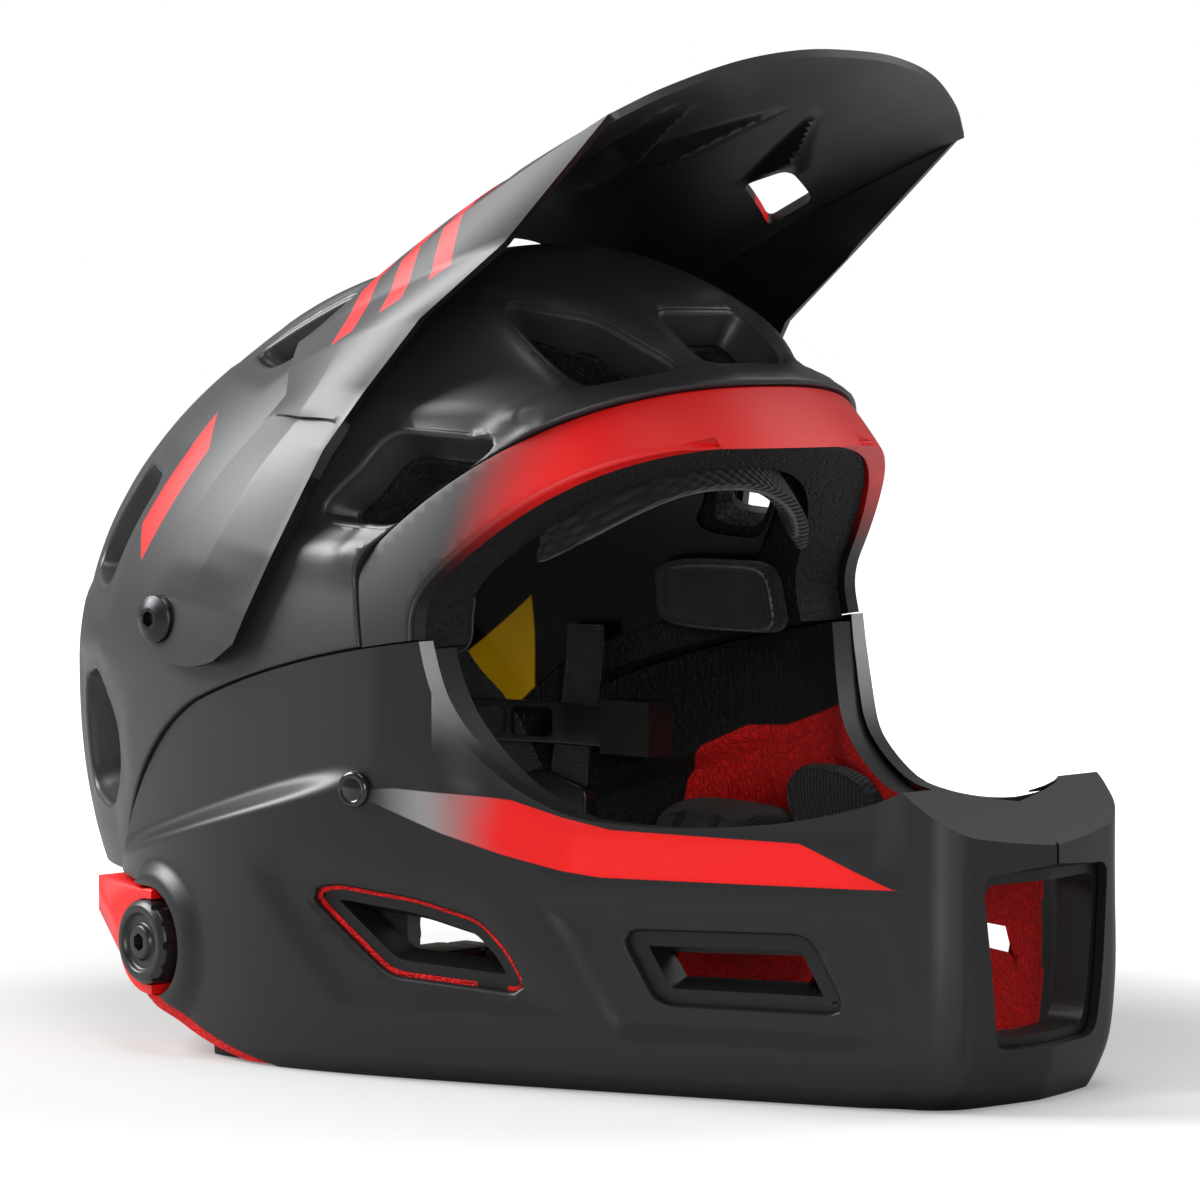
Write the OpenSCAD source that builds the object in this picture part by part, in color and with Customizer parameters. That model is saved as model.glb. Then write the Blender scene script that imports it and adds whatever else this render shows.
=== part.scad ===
// Full face bike helmet with a tilting visor and a chin bar that slides off
// Frame: floor at z = 0, face towards -Y, wearer's right is -X, X = 0 is the middle plane

/* [Shell form] */
// Half of the shell's greatest width
shell_half_w = 107; // [101:1:113]
// Reach of the shell's form ahead of its widest section
shell_front = 124; // [118:1:130]
// Reach of the shell's form behind its widest section
shell_rear = 184; // [176:1:192]
// Height of the crown above the widest section
crown_h = 134; // [128:1:142]
// Depth of the form below the widest section
skirt_h = 151; // [140:1:160]
// Height of the widest section above the floor
belt_z = 115; // [110:1:120]
// Wall of the outer shell
shell_t = 2.6; // [2:0.1:3.4]
// Thickness of the foam liner
foam_t = 24; // [20:1:28]
// Wall of the low friction slip liner
slip_t = 1; // [0.8:0.1:1.4]
// Height of the shell's rear edge above the floor
nape_z = 50; // [44:1:56]

/* [Face port] */
// Height of the middle of the brow edge of the shell
brow_z = 205.5; // [200:0.5:210]
// Depth of the red brow trim from the shell's edge to the port
trim_drop = 19; // [15:1:22]
// Thickness of the brow trim
trim_t = 6.4; // [5:0.2:8]

/* [Chin bar] */
// Half of the chin bar's greatest width
bar_half_w = 116; // [112:1:122]
// Distance of the front of the muzzle ahead of the origin
muzzle_y = 237; // [230:1:244]
// Half of the muzzle's width at its front corners
muzzle_half_w = 34; // [30:1:38]
// Height of the muzzle's top at its rear edge
muzzle_z = 91; // [86:1:96]
// Wall of the chin bar's shell
bar_t = 2.8; // [2.2:0.1:3.6]
// Thickness of the chin bar's foam
bar_foam_t = 11; // [8:1:13]

/* [Visor] */
// Wall of the visor
visor_t = 2.4; // [2:0.1:3.2]
// Clear space between the shell and the visor's arms
visor_gap = 3.4; // [3:0.1:5]
// Reach of the middle of the peak ahead of the origin
peak_y = 158; // [145:1:168]
// Height of the middle of the peak
peak_z = 304; // [296:1:310]
// Half of the peak's width
peak_half_w = 81; // [72:1:88]
// Radius of the visor screw's shank
screw_r = 3; // [2.5:0.1:3.5]
// Radius of the visor screw's head
screw_head_r = 5.6; // [4.8:0.1:6.4]
// Outer radius of the visor bush
bush_r = 7; // [6:0.5:8]

/* [Release dials] */
// Radius of a release dial
dial_r = 13; // [11:0.5:14]
// How far a release dial stands out of the chin bar
dial_h = 7; // [5:0.5:9]
// Radius of a release dial's spindle
spindle_r = 4; // [3:0.5:5]
// Turn of the dial's axis from straight sideways
dial_yaw = 8; // [0:1:12]

/* [Fit system and straps] */
// Height of the fit band
band_h = 14; // [10:1:18]
// Thickness of the fit band
band_t = 1.8; // [1.4:0.1:2.4]
// Radius of the fit dial
fit_dial_r = 16; // [13:1:18]
// Travel of the fit cradle
fit_travel = 8; // [4:1:10]
// Width of the strap webbing
web_w = 16; // [12:1:20]
// Thickness of the strap webbing
web_t = 1.6; // [1.2:0.1:2]
// Travel of the buckle's tongue out of its catch
tongue_travel = 14; // [12:1:18]

/* [Hidden] */

// Form exponents of the shell: in plan, over the crown and down the skirt
plan_power = 2.3;
crown_power = 1.87;
skirt_power = 2.4;
// Columns round the shell and rows from its lower rim to the crown
form_cols = 36;
form_rows = 11;
form_low = -38;
belt_y = -39;
// Clearances: between fixed layers, round a joint line, and in a running bore
layer_gap = 0.3;
line_gap = 0.7;
run_gap = 0.05;
wide = 300;

charcoal = "#3c3c3c";
black = "#151515";
red = "#e01515";

function signed_pow(v, e) = sign(v) * pow(abs(v), e);

// Point on the shell's form, d mm outside it, at a bearing and a height angle
function form_point(bearing, lift, d = 0) =
    let (
        power = lift > 0 ? crown_power : skirt_power,
        rise = (lift > 0 ? crown_h : skirt_h) + d,
        reach = (sin(bearing) > 0 ? shell_rear : shell_front) + d,
        flat = pow(cos(lift), 2 / power)
    )
    [
        (shell_half_w + d) * flat * signed_pow(cos(bearing), 2 / plan_power),
        belt_y + reach * flat * signed_pow(sin(bearing), 2 / plan_power),
        belt_z + rise * signed_pow(sin(lift), 2 / power)
    ];

// Half width of the form at a place in the side view
function form_x(y, z, d = 0) =
    let (
        power = z > belt_z ? crown_power : skirt_power,
        rise = (z > belt_z ? crown_h : skirt_h) + d,
        reach = (y > belt_y ? shell_rear : shell_front) + d,
        level = pow(max(0, 1 - pow(abs(z - belt_z) / rise, power)), plan_power / power)
    )
    (shell_half_w + d) * pow(max(0, level - pow(abs(y - belt_y) / reach, plan_power)), 1 / plan_power);

// Height of the crown over a place in the plan
function form_z(x, y, d = 0) =
    let (
        reach = (y > belt_y ? shell_rear : shell_front) + d,
        plan = pow(abs(x) / (shell_half_w + d), plan_power) + pow(abs(y - belt_y) / reach, plan_power)
    )
    belt_z + (crown_h + d) * pow(max(0, 1 - pow(plan, crown_power / plan_power)), 1 / crown_power);

// Points along a cubic curve
function curve(a, b, c, e, n = 8) = [
    for (i = [0:n])
        let (t = i / n, s = 1 - t)
        s * s * s * a + 3 * s * s * t * b + 3 * s * t * t * c + t * t * t * e
];

function flip(list) = [for (i = [len(list) - 1:-1:0]) list[i]];

// Triangles that join rings of n points, ring after ring, with flat fans at both ends
function ring_faces(rings, n) = concat(
    [for (j = [0:rings - 2], i = [0:n - 1])
        let (a = j * n + i, b = j * n + (i + 1) % n) [a, b, b + n]],
    [for (j = [0:rings - 2], i = [0:n - 1])
        let (a = j * n + i, b = j * n + (i + 1) % n) [a, b + n, a + n]],
    [for (i = [1:n - 2]) [0, i + 1, i]],
    [for (i = [1:n - 2]) [(rings - 1) * n, (rings - 1) * n + i, (rings - 1) * n + i + 1]]
);

// Closed block between two grids of rows by cols points, the first being the outer one
module two_sided(outer, inner, rows, cols) {
    half = rows * cols;
    edge = concat(
        [for (i = [0:cols - 2]) [i, i + 1]],
        [for (j = [0:rows - 2]) [j * cols + cols - 1, (j + 1) * cols + cols - 1]],
        [for (i = [cols - 2:-1:0]) [(rows - 1) * cols + i + 1, (rows - 1) * cols + i]],
        [for (j = [rows - 2:-1:0]) [(j + 1) * cols, j * cols]]
    );
    polyhedron(
        points = concat(outer, inner),
        faces = concat(
            [for (j = [0:rows - 2], i = [0:cols - 2])
                let (a = j * cols + i) [a, a + cols, a + 1]],
            [for (j = [0:rows - 2], i = [0:cols - 2])
                let (a = j * cols + i) [a + 1, a + cols, a + cols + 1]],
            [for (j = [0:rows - 2], i = [0:cols - 2])
                let (a = half + j * cols + i) [a, a + 1, a + cols]],
            [for (j = [0:rows - 2], i = [0:cols - 2])
                let (a = half + j * cols + i) [a + 1, a + cols + 1, a + cols]],
            [for (e = edge) [e[0], e[1], e[0] + half]],
            [for (e = edge) [e[1], e[1] + half, e[0] + half]]
        )
    );
}

// The shell's form as a solid, d mm larger all round
module form(d = 0, cols = form_cols, rows = form_rows) {
    crown = rows * cols;
    polyhedron(
        points = concat(
            [for (j = [0:rows - 1], i = [0:cols - 1])
                form_point(360 * i / cols, form_low + (90 - form_low) * j / rows, d)],
            [form_point(0, 90, d)]
        ),
        faces = concat(
            [for (j = [0:rows - 2], i = [0:cols - 1])
                let (a = j * cols + i, b = j * cols + (i + 1) % cols) [a, b + cols, b]],
            [for (j = [0:rows - 2], i = [0:cols - 1])
                let (a = j * cols + i, b = j * cols + (i + 1) % cols) [a, a + cols, b + cols]],
            [for (i = [0:cols - 1]) [crown - cols + i, crown, crown - cols + (i + 1) % cols]],
            [for (i = [1:cols - 2]) [0, i, i + 1]]
        )
    );
}

// Side view outline drawn as [y, z] and pushed through the whole width
module side_profile(points, width = wide) {
    rotate([90, 0, 90])
        linear_extrude(width, center = true)
            polygon(points);
}

// Both sides of a right hand piece
module pair() {
    children();
    mirror([1, 0, 0]) children();
}

// Puts a left hand piece, drawn at +X, on the named side
module on_side(side) {
    if (side == "left") children();
    else mirror([1, 0, 0]) children();
}

// Joint line between the shell and the chin bar, from the nape to the port
line_rear = [70, nape_z];
line_knee = [18, 108.5];
line_front = [-78, 131];
joint_line = concat(
    curve(line_rear, [62, 72], [44, 97], line_knee, 6),
    curve(line_knee, [-8, 118], [-40, 126], line_front, 5)
);

// Front edge of the shell, from the joint line up to the middle of the brow
seam_foot = [-58.5, 128];
seam_corner = [-52, 152];
brow_front = [-127, brow_z];
seam_line = concat(
    [seam_foot],
    curve(seam_corner, [-66, 169], [-98, 196], brow_front, 7)
);

// Edge of the face port, set down from the shell's front edge
port_corner = [-75, 143];
port_brow = [-131, brow_z - trim_drop];
port_line = concat(
    [line_front + [1, -3]],
    curve(port_corner, [-88, 157], [-108, 180], port_brow, 7)
);

function shifted(points, by) = [for (p = points) p + by];

// All that lies below the joint line, raised or lowered by dz
module below_joint(dz = 0) {
    side_profile(concat(
        [[wide, nape_z + dz], line_rear + [0, dz]],
        shifted(joint_line, [0, dz]),
        [[-wide, line_front[1] + dz], [-wide, -wide], [wide, -wide]]
    ));
}

// All that lies ahead of a port edge, with the edge moved back by dy
module ahead_of(line, dy = 0) {
    side_profile(concat(
        shifted(line, [dy, 0]),
        [[-wide, line[len(line) - 1][1]], [-wide, 0], [line[0][0] + dy, 0]]
    ));
}

// Vent corners as [bearing, height angle] on the wearer's right; middle vents are whole
front_vent = [[252, 59], [288, 59], [282, 48], [258, 48]];
top_vents = [
    [[198, 61], [230, 57], [250, 47], [224, 44]],
    [[177, 24], [183, 37], [207, 35.5], [190, 23]],
    [[143, 29], [127, 31], [124, 15], [140, 12]],
    [[140, 0], [147, -4], [147, -9], [142, -14], [130, -12], [130, -1]],
    [[158, 60], [135, 64], [128, 50], [152, 47]],
    [[117, 50], [98, 52], [98, 34], [113, 33]]
];

function middle(list) =
    [for (k = [0:1]) [for (p = list) p[k]] * [for (p = list) 1] / len(list)];

// Round rod between two points
module rod(a, b, r, n = 6) {
    d = b - a;
    translate(a) rotate([0, acos(d[2] / norm(d)), atan2(d[1], d[0])]) cylinder(h = norm(d), r = r, $fn = n);
}

// Cutter for one vent between two depths, its corners drawn in or out by a share
module vent(corners, d_out, d_in, share = 1, r = 2.5) {
    c = middle(corners);
    hull() {
        for (p = corners) {
            q = c + share * (p - c);
            rod(form_point(q[0], q[1], d_out), form_point(q[0], q[1], d_in), r);
        }
    }
}

module vents(d_out, d_in, share = 1, r = 2.5) {
    vent(front_vent, d_out, d_in, share, r);
    pair() for (v = top_vents) vent(v, d_out, d_in, share, r);
}

// Outer shell: thin wall, open below and at the face, cut by the vents
module outer_shell() {
    color(charcoal)
    difference() {
        form();
        form(-shell_t);
        below_joint();
        ahead_of(seam_line);
        vents(12, -12);
        pair() screw_axis() cylinder(h = 40, r = insert_flange_r + layer_gap, $fn = 32, center = true);
    }
}

// Foam liner: the thick energy absorbing layer, with the head's hollow inside
foam_out = -shell_t - layer_gap;
foam_in = foam_out - foam_t;

module foam_liner() {
    color("#2a2a2a")
    difference() {
        form(foam_out);
        form(foam_in);
        below_joint(1);
        ahead_of(port_line, 3);
        difference() {
            ahead_of(seam_line, line_gap);
            form(-trim_t - 2 * layer_gap);
        }
        vents(2, foam_in - 14, 0.74, 2.5);
        pair() screw_axis() cylinder(h = 60, r = insert_flange_r + layer_gap, $fn = 32, center = true);
        // Finger room for the fit dial, open to below
        hull() {
            for (z = [0, fit_z])
                translate([0, cradle_y - 12, z]) rotate([-90, 0, 0])
                    cylinder(h = 28 + fit_dial_r / 4, r = fit_dial_r + 8, $fn = 24);
        }
    }
}

// Red trim round the brow and down the sides of the port
module brow_trim() {
    color(red)
    difference() {
        intersection() {
            form(-layer_gap);
            difference() {
                ahead_of(seam_line, -line_gap);
                ahead_of(port_line);
            }
        }
        form(-trim_t);
        below_joint(line_gap);
    }
}

// Yellow low friction liner inside the foam
slip_out = foam_in - 1;
slip_in = slip_out - slip_t;
slip_cols = 24;
slip_rows = 8;

module slip_liner() {
    color("#e0b400")
    difference() {
        form(slip_out, slip_cols, slip_rows);
        form(slip_in, slip_cols, slip_rows);
        below_joint(8);
        ahead_of(port_line, 22);
        vents(slip_out + 8, slip_in - 16, 0.9, 2.5);
        hull() {
            for (z = [0, fit_z])
                translate([0, cradle_y - 20, z]) rotate([-90, 0, 0])
                    cylinder(h = 60, r = fit_dial_r + 9, $fn = 24);
        }
    }
}

// Share of its full thickness that a cushion has at u, v in -1..1
function pillow(u, v) =
    let (edge = (1 - pow(abs(u), 5)) * (1 - pow(abs(v), 5)))
    0.25 + 0.75 * pow(edge, 0.5);

pad_rows = 6;
pad_cols = 11;
pad_gap = 1.8;
pad_out = slip_in - pad_gap;

// Cushion on the inside of the form, over spans of bearing and height angle
module form_pad(b0, b1, low, high, t, bow = 0) {
    spots = [for (j = [0:pad_rows - 1], i = [0:pad_cols - 1])
        [2 * i / (pad_cols - 1) - 1, 2 * j / (pad_rows - 1) - 1]];
    function bearing(u, v) = (b0 + b1) / 2 + (b1 - b0) / 2 * u * (1 - 0.04 * (1 - abs(v)));
    function lift(u, v) = (low + high) / 2 + (high - low) / 2 * v - bow * u * u;
    two_sided(
        [for (s = spots) form_point(bearing(s[0], s[1]), lift(s[0], s[1]), pad_out)],
        [for (s = spots) form_point(bearing(s[0], s[1]), lift(s[0], s[1]), pad_out - t * pillow(s[0], s[1]))],
        pad_rows, pad_cols
    );
}

module brow_pad() {
    color(black) form_pad(216, 324, 38, 50, 7, 12);
}

module temple_pads() {
    color(black) pair() form_pad(172, 198, 6, 20, 6);
}

// One strip along the crown, x0 off the middle
module crown_pad(x0) {
    spots = [for (j = [0:pad_rows - 1], i = [0:pad_cols - 1])
        [2 * i / (pad_cols - 1) - 1, 2 * j / (pad_rows - 1) - 1]];
    function px(s) = x0 - 11 * s[1];
    function py(s) = 4 + (60 - abs(x0) / 3) * s[0];
    two_sided(
        [for (s = spots) [px(s), py(s), form_z(px(s), py(s), pad_out)]],
        [for (s = spots) [px(s), py(s), form_z(px(s), py(s), pad_out) - 6 * pillow(s[0], s[1])]],
        pad_rows, pad_cols
    );
}

module crown_pads() {
    color(black) for (x0 = [-36, 0, 36]) crown_pad(x0);
}

// Visor pivot: a screw through each side, along X
pivot_y = 30;
pivot_z = belt_z + 18;
pivot_x = form_x(pivot_y, pivot_z);
insert_flange_r = 9.4;
insert_face = pivot_x + 1;
bush_face = insert_face + 0.2;
bush_h = visor_gap + visor_t + 0.2;
head_face = bush_face + bush_h + 0.15;
screw_deep = 10;

// Puts Z along +X at the pivot, with z = 0 on the middle plane
module screw_axis() {
    translate([pivot_x, pivot_y, pivot_z]) rotate([0, 90, 0]) children();
}

module at_pivot(x) {
    translate([x, pivot_y, pivot_z]) rotate([0, 90, 0]) children();
}

module visor_insert(side) {
    color("#8a8a8a")
    on_side(side) at_pivot(0)
    difference() {
        union() {
            translate([0, 0, insert_face - 3]) cylinder(h = 3, r = insert_flange_r, $fn = 48);
            translate([0, 0, insert_face - screw_deep - 4]) cylinder(h = screw_deep + 2, r = 6.5, $fn = 48);
        }
        translate([0, 0, insert_face - screw_deep - 2]) cylinder(h = screw_deep + 8, r = screw_r + run_gap, $fn = 48);
    }
}

module visor_bush(side) {
    color(black)
    on_side(side) at_pivot(bush_face)
    difference() {
        cylinder(h = bush_h, r = bush_r, $fn = 48);
        translate([0, 0, -1]) cylinder(h = bush_h + 2, r = screw_r + run_gap, $fn = 48);
    }
}

module visor_screw(side) {
    color("#303030")
    on_side(side) at_pivot(head_face)
    difference() {
        union() {
            // Domed head
            rotate_extrude($fn = 48)
                polygon([[0, 0], [screw_head_r + 2, 0], [screw_head_r + 1.6, 1],
                         [screw_head_r - 1, 2.6], [screw_head_r - 2.4, 3.2], [0, 3.2]]);
            translate([0, 0, insert_face - screw_deep - head_face])
                cylinder(h = head_face - insert_face + screw_deep + 0.5, r = screw_r, $fn = 48);
        }
        translate([0, 0, 1.2]) cylinder(h = 4, r = screw_r * 0.78, $fn = 6);
    }
}

// Visor sheet: stations from the middle of the peak out and down to the foot of the arm,
// each with a point on the rear edge, one on the front edge, and the bow between them
visor_out = visor_gap + visor_t;
function on_crown(x, y) = [x, y, form_z(x, y, visor_out)];
function on_flank(y, z, flare = 0) = [form_x(y, z, visor_out) + flare, y, z];
function peak_front(w) = [peak_half_w * w, -peak_y + 22 * pow(w, 2.4), peak_z - 21 * pow(w, 2.4)];
function peak_side(x, y, z) = [max(peak_half_w + x, form_x(y, z, visor_out + 2)), y, z];
stations = [
    [on_crown(0, -15), peak_front(0), [0, 10, 6]],
    [on_crown(20, -14), peak_front(0.27), [0, 10, 6]],
    [on_crown(40, -9), peak_front(0.55), [0, 8, 7]],
    [on_crown(56, -3), peak_front(0.82), [0, 3, 8]],
    [on_crown(66, 3), peak_front(1), [0, -4, 6.5]],
    [on_flank(7, 218), peak_side(-1, -93, 247), [3.5, -9, 5.5]],
    [on_flank(3, 210), peak_side(3, -62, 225), [5, -5, 4.5]],
    [on_flank(-3, 202), peak_side(9, -44, 203), [4, -2, 2.5]],
    [on_flank(4, 190), on_flank(-35, 186, 3.5), [0, 0, 0]],
    [on_flank(13, 179), on_flank(-30, 174, 1.4), [0, 0, 0]],
    [on_flank(24, 161), on_flank(-22, 154, 0.4), [0, 0, 0]],
    [on_flank(36, 143), on_flank(-14, 137), [0, 0, 0]],
    [on_flank(43, 133), on_flank(-9, 127), [0, 0, -1.5]],
    [on_flank(38, 125), on_flank(0, 121.5), [0, 0, -4]]
];
station_n = len(stations);
arm_from = 7.5;
sheet_cols = 8;

function station(i) =
    let (k = floor(abs(i)), f = abs(i) - k)
    stations[k] * (1 - f) + stations[min(k + 1, station_n - 1)] * f;

// Point of the visor's outer face: station i, negative on the right; v from rear to front
function sheet_point(i, v) =
    let (
        s = station(i),
        q = s[0] * (1 - v) + s[1] * v + 4 * v * (1 - v) * s[2],
        m = (s[0] + s[1]) / 2 + s[2],
        flare = (s[1][0] - form_x(s[1][1], s[1][2], visor_out)) * v * v,
        p = abs(i) > arm_from
            ? [form_x(q[1], q[2], visor_out) + flare, q[1], q[2]]
            : (1 - v) * (1 - v) * s[0] + 2 * v * (1 - v) * m + v * v * s[1]
    )
    [i < 0 ? -p[0] : p[0], p[1], p[2]];

// Direction out of the visor's face
function sheet_out(i, v) =
    let (
        e = 0.04,
        top = station_n - 1,
        a = sheet_point(min(i + e, top), v) - sheet_point(max(i - e, -top), v),
        b = sheet_point(i, min(v + e, 1)) - sheet_point(i, max(v - e, 0))
    )
    unit(cross(b, a));

module visor_sheet() {
    rows = 2 * station_n - 1;
    spots = [for (j = [0:rows - 1], k = [0:sheet_cols - 1]) [j - station_n + 1, k / (sheet_cols - 1)]];
    two_sided(
        [for (s = spots) sheet_point(s[0], s[1])],
        [for (s = spots) sheet_point(s[0], s[1]) - visor_t * sheet_out(s[0], s[1])],
        rows, sheet_cols
    );
}

// Ribs under the peak: station, and the span from rear to front
rib_spans = [[0.5, 0.3, 0.92], [1.5, 0.4, 0.9], [2, 0.66, 0.95], [4, 0.35, 0.85]];

module visor_ribs() {
    pair() for (r = rib_spans)
        webbing(
            [for (k = [0:4])
                let (v = r[1] + (r[2] - r[1]) * k / 4)
                sheet_point(r[0], v) - (visor_t + 0.8) * sheet_out(r[0], v)],
            [1, 0, 0], 1.8, 3
        );
}

module visor() {
    color("#4a4a4a")
    difference() {
        union() {
            visor_sheet();
            visor_ribs();
        }
        // Hole in each half of the peak
        pair() translate([0, 0, peak_z - 90]) linear_extrude(90)
            offset(r = 2, $fn = 16) polygon([[50, -74], [51, -87], [68, -83], [67, -68]]);
        pair() at_pivot(insert_face - 20) cylinder(h = 60, r = bush_r + 0.2, $fn = 32);
        // Flats that seat the bush and the screw's head
        pair() at_pivot(bush_face - 6) cylinder(h = 6.6, r = bush_r + 4, $fn = 32);
        pair() at_pivot(head_face - 0.4) cylinder(h = 12, r = screw_head_r + 3, $fn = 32);
    }
}

// Chin bar: half width in plan along its side
bar_waist_y = -10;
bar_slope = 0.42;
bar_blend = 20.5;
bar_rear_r = 96;
bar_corner_y = 214;

function bar_x(y) =
    y < bar_waist_y
        ? bar_half_w + bar_blend - norm([bar_blend, bar_slope * (bar_waist_y - y)])
        : bar_half_w * pow(1 - pow((y - bar_waist_y) / (bar_rear_r + 24), 2.1), 0.5);

// Plan line of the chin bar from the rear of its side to the middle of the muzzle
bar_side_ys = [84, 74, 62, 50, 38, 24, 8, -10, -28, -44, -60, -78, -96, -114, -132, -150, -168, -186, -202];
bar_plan = concat(
    [for (y = bar_side_ys) [bar_x(y), y]],
    [
        [bar_x(-bar_corner_y) - 1, -bar_corner_y],
        [muzzle_half_w + 8, -muzzle_y + 11],
        [muzzle_half_w, -muzzle_y + 5],
        [muzzle_half_w / 2, -muzzle_y + 2],
        [0, -muzzle_y]
    ]
);
bar_n = len(bar_plan);

function unit(v) = v / norm(v);

// Direction out of the chin bar at a point of its plan line
function bar_out(i) =
    i == bar_n - 1 ? [0, -1]
    : let (t = unit(bar_plan[i + 1] - bar_plan[max(i - 1, 0)])) [-t[1], t[0]];

// Point of the plan line moved e mm inwards, kept free of crossings round the muzzle
function bar_in(i, e) =
    let (p = bar_plan[i])
    p - e * (p[1] < -bar_corner_y - 1 ? [p[0] * 0.75 / (muzzle_half_w + 8), -1] : bar_out(i));

// Height where the panel below the red band ends, and where the band meets the rim
function panel_top(y) = y > -70 ? min(100, 57 + 0.26 * (62 - y)) : max(63, 91.3 - 0.55 * (-70 - y));
function ledge_top(y) = panel_top(y) + (y > -70 ? 5 : 5 + min(8, 0.2 * (-70 - y)));

// How far in from the plan line the wall lies at a height over a place y
function bar_inset(y, x, level) =
    let (flush = max(0, x - form_x(y, min(panel_top(y) + 14, 128))))
    level == 0 ? 8
    : level == 1 ? 5
    : level == 2 ? 1.5
    : level == 3 ? 0
    : level == 4 ? 0.5
    : y > -90 ? min(flush, 15) : 5;

function bar_level_z(y, level) =
    [-2, 4, 14, 34, panel_top(y), ledge_top(y), 150][level];

bar_levels = 7;

// Solid form of the chin bar, d mm inside its outer face
module bar_form(d = 0) {
    half = [for (i = [0:bar_n - 1]) i];
    function spot(i, level) =
        let (
            p = bar_plan[i],
            muzzle = p[1] < -bar_corner_y - 1,
            e = (muzzle && level > 4 ? 0.5 : bar_inset(p[1], p[0], level)) + d,
            q = bar_in(i, e)
        )
        [q[0], q[1], bar_level_z(p[1], level)];
    count = 2 * bar_n - 1;
    function ring(level) = concat(
        [for (i = half) spot(i, level)],
        [for (i = [bar_n - 2:-1:0]) let (s = spot(i, level)) [-s[0], s[1], s[2]]]
    );
    polyhedron(
        points = [for (level = [0:bar_levels - 1]) each ring(level)],
        faces = ring_faces(bar_levels, count)
    );
}

// Outline of the chin bar in the side view
lip = 4;
bar_tail = curve([66, 48], [58, 34], [34, 10], [-14, 0], 6);
bar_rim = concat(
    curve(line_front - [line_gap, line_gap], [-82, 112], [-88, 92], [-118, 81], 5),
    curve([-124, 79.5], [-150, 76], [-186, 78], [-muzzle_y + 21, muzzle_z], 5)
);

module bar_outline(back = 0, down = 0) {
    side_profile(concat(
        flip(shifted(bar_rim, [0, -down])),
        flip(shifted(joint_line, [-line_gap, -line_gap - down])),
        shifted(bar_tail, [-back, 0]),
        [[-wide, 0], [-wide, muzzle_z - 0.82 * (wide - muzzle_y + 21) - down]]
    ));
}

// Corners of the chin bar's side vents as [y, z], and of the front vent as [x, z]
vent_a = [[-42, 54], [-50, 56], [-76, 53], [-95, 48], [-103, 40], [-109, 29], [-68, 32]];
vent_b = [[-139, 47], [-190, 48], [-200, 28], [-149, 28]];
vent_b_recess = [[-114, 55], [-210, 55], [-214, 20], [-137, 19]];
muzzle_vent = [[29, 66], [23, 17]];

// Point beside the chin bar's side, d mm out of its face
function bar_side(y, z, d) =
    let (slope = (bar_x(y + 1) - bar_x(y - 1)) / 2, n = unit([1, -slope]))
    [bar_x(y) + d * n[0], y + d * n[1], z];

module bar_cut(corners, d_out, d_in, r, grow = 0) {
    c = middle(corners);
    hull() {
        for (p = corners) {
            q = p + grow * unit(p - c);
            rod(bar_side(q[0], q[1], d_out), bar_side(q[0], q[1], d_in), r, 8);
        }
    }
}

module muzzle_cut(grow = 0) {
    hull() {
        for (p = muzzle_vent, s = [-1, 1])
            translate([s * (p[0] - 3 + grow), -muzzle_y - 12, p[1] + (p[1] > 40 ? grow - 3 : 3 - grow)])
                rotate([-90, 0, 0]) cylinder(h = 60, r = 3, $fn = 12);
    }
}

// Release dials: centre on the chin bar's side, axis turned a little to the rear
dial_y = 26;
dial_z = 34;
dial_x = bar_x(dial_y);
collar_t = 3;
collar_r = dial_r + layer_gap + collar_t;

module at_dial(side, d = 0) {
    on_side(side) translate([dial_x, dial_y, dial_z]) rotate([0, 0, dial_yaw]) rotate([0, 90, 0])
        translate([0, 0, d]) children();
}

// Space of the collar and of the dial, open to the rear for the slide
module collar_room(grow = 0, deep = 30, front = 40) {
    r = collar_r + grow;
    pair() hull() {
        at_dial("left", -deep) cylinder(h = deep + front, r = r, $fn = 32);
        translate([0, 80, 0]) at_dial("left", -deep) cylinder(h = deep + front, r = r, $fn = 32);
    }
}

// Air channels in the face of the chin bar's foam, from the muzzle to the side vents
module air_channels() {
    pair() hull() {
        translate(bar_side(-200, 40, -bar_t - bar_foam_t)) sphere(4, $fn = 8);
        translate(bar_side(-150, 40, -bar_t - bar_foam_t)) sphere(4, $fn = 8);
    }
}

module chin_bar_shell() {
    color(charcoal)
    difference() {
        union() {
            intersection() {
                difference() {
                    bar_form();
                    bar_form(bar_t);
                }
                bar_outline(lip);
            }
            // Raised housing round each release dial
            pair() intersection() {
                hull() {
                    at_dial("left", -4) cylinder(h = 1, r = collar_r + 9, $fn = 32);
                    at_dial("left", 2) cylinder(h = 1, r = collar_r + 3, $fn = 32);
                }
                bar_outline(lip);
            }
        }
        pair() bar_cut(vent_a, 10, -30, 2);
        pair() bar_cut(vent_b, 10, -30, 2);
        pair() bar_cut(vent_b_recess, 6, 0.8, 2);
        muzzle_cut();
        collar_room(0.6);
        // Seats of the round caps
        pair() at_rivet(-0.7) cylinder(h = 6, r = rivet_r + 0.2, $fn = 24);
        // Groove along the middle of the muzzle
        translate([0, -muzzle_y, 74]) rotate([39, 0, 0]) cube([1, 80, 2], center = true);
    }
}

module chin_bar_liner() {
    color(red)
    difference() {
        intersection() {
            difference() {
                bar_form(bar_t + layer_gap);
                bar_form(bar_t + layer_gap + bar_foam_t);
            }
            bar_outline(0, 2.4);
        }
        pair() bar_cut(vent_a, 10, -40, 2, -1.5);
        pair() bar_cut(vent_b, 10, -40, 2, -1.5);
        muzzle_cut(-3);
        collar_room(0.6, 38);
        pair() at_dial("left", -4 - layer_gap) cylinder(h = 40, r = collar_r + 9.5, $fn = 32);
        air_channels();
        base_room(layer_gap);
    }
}

// Flat base of the chin bar: the face that it stands on
base_h = 5;
base_w = 10;

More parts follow.
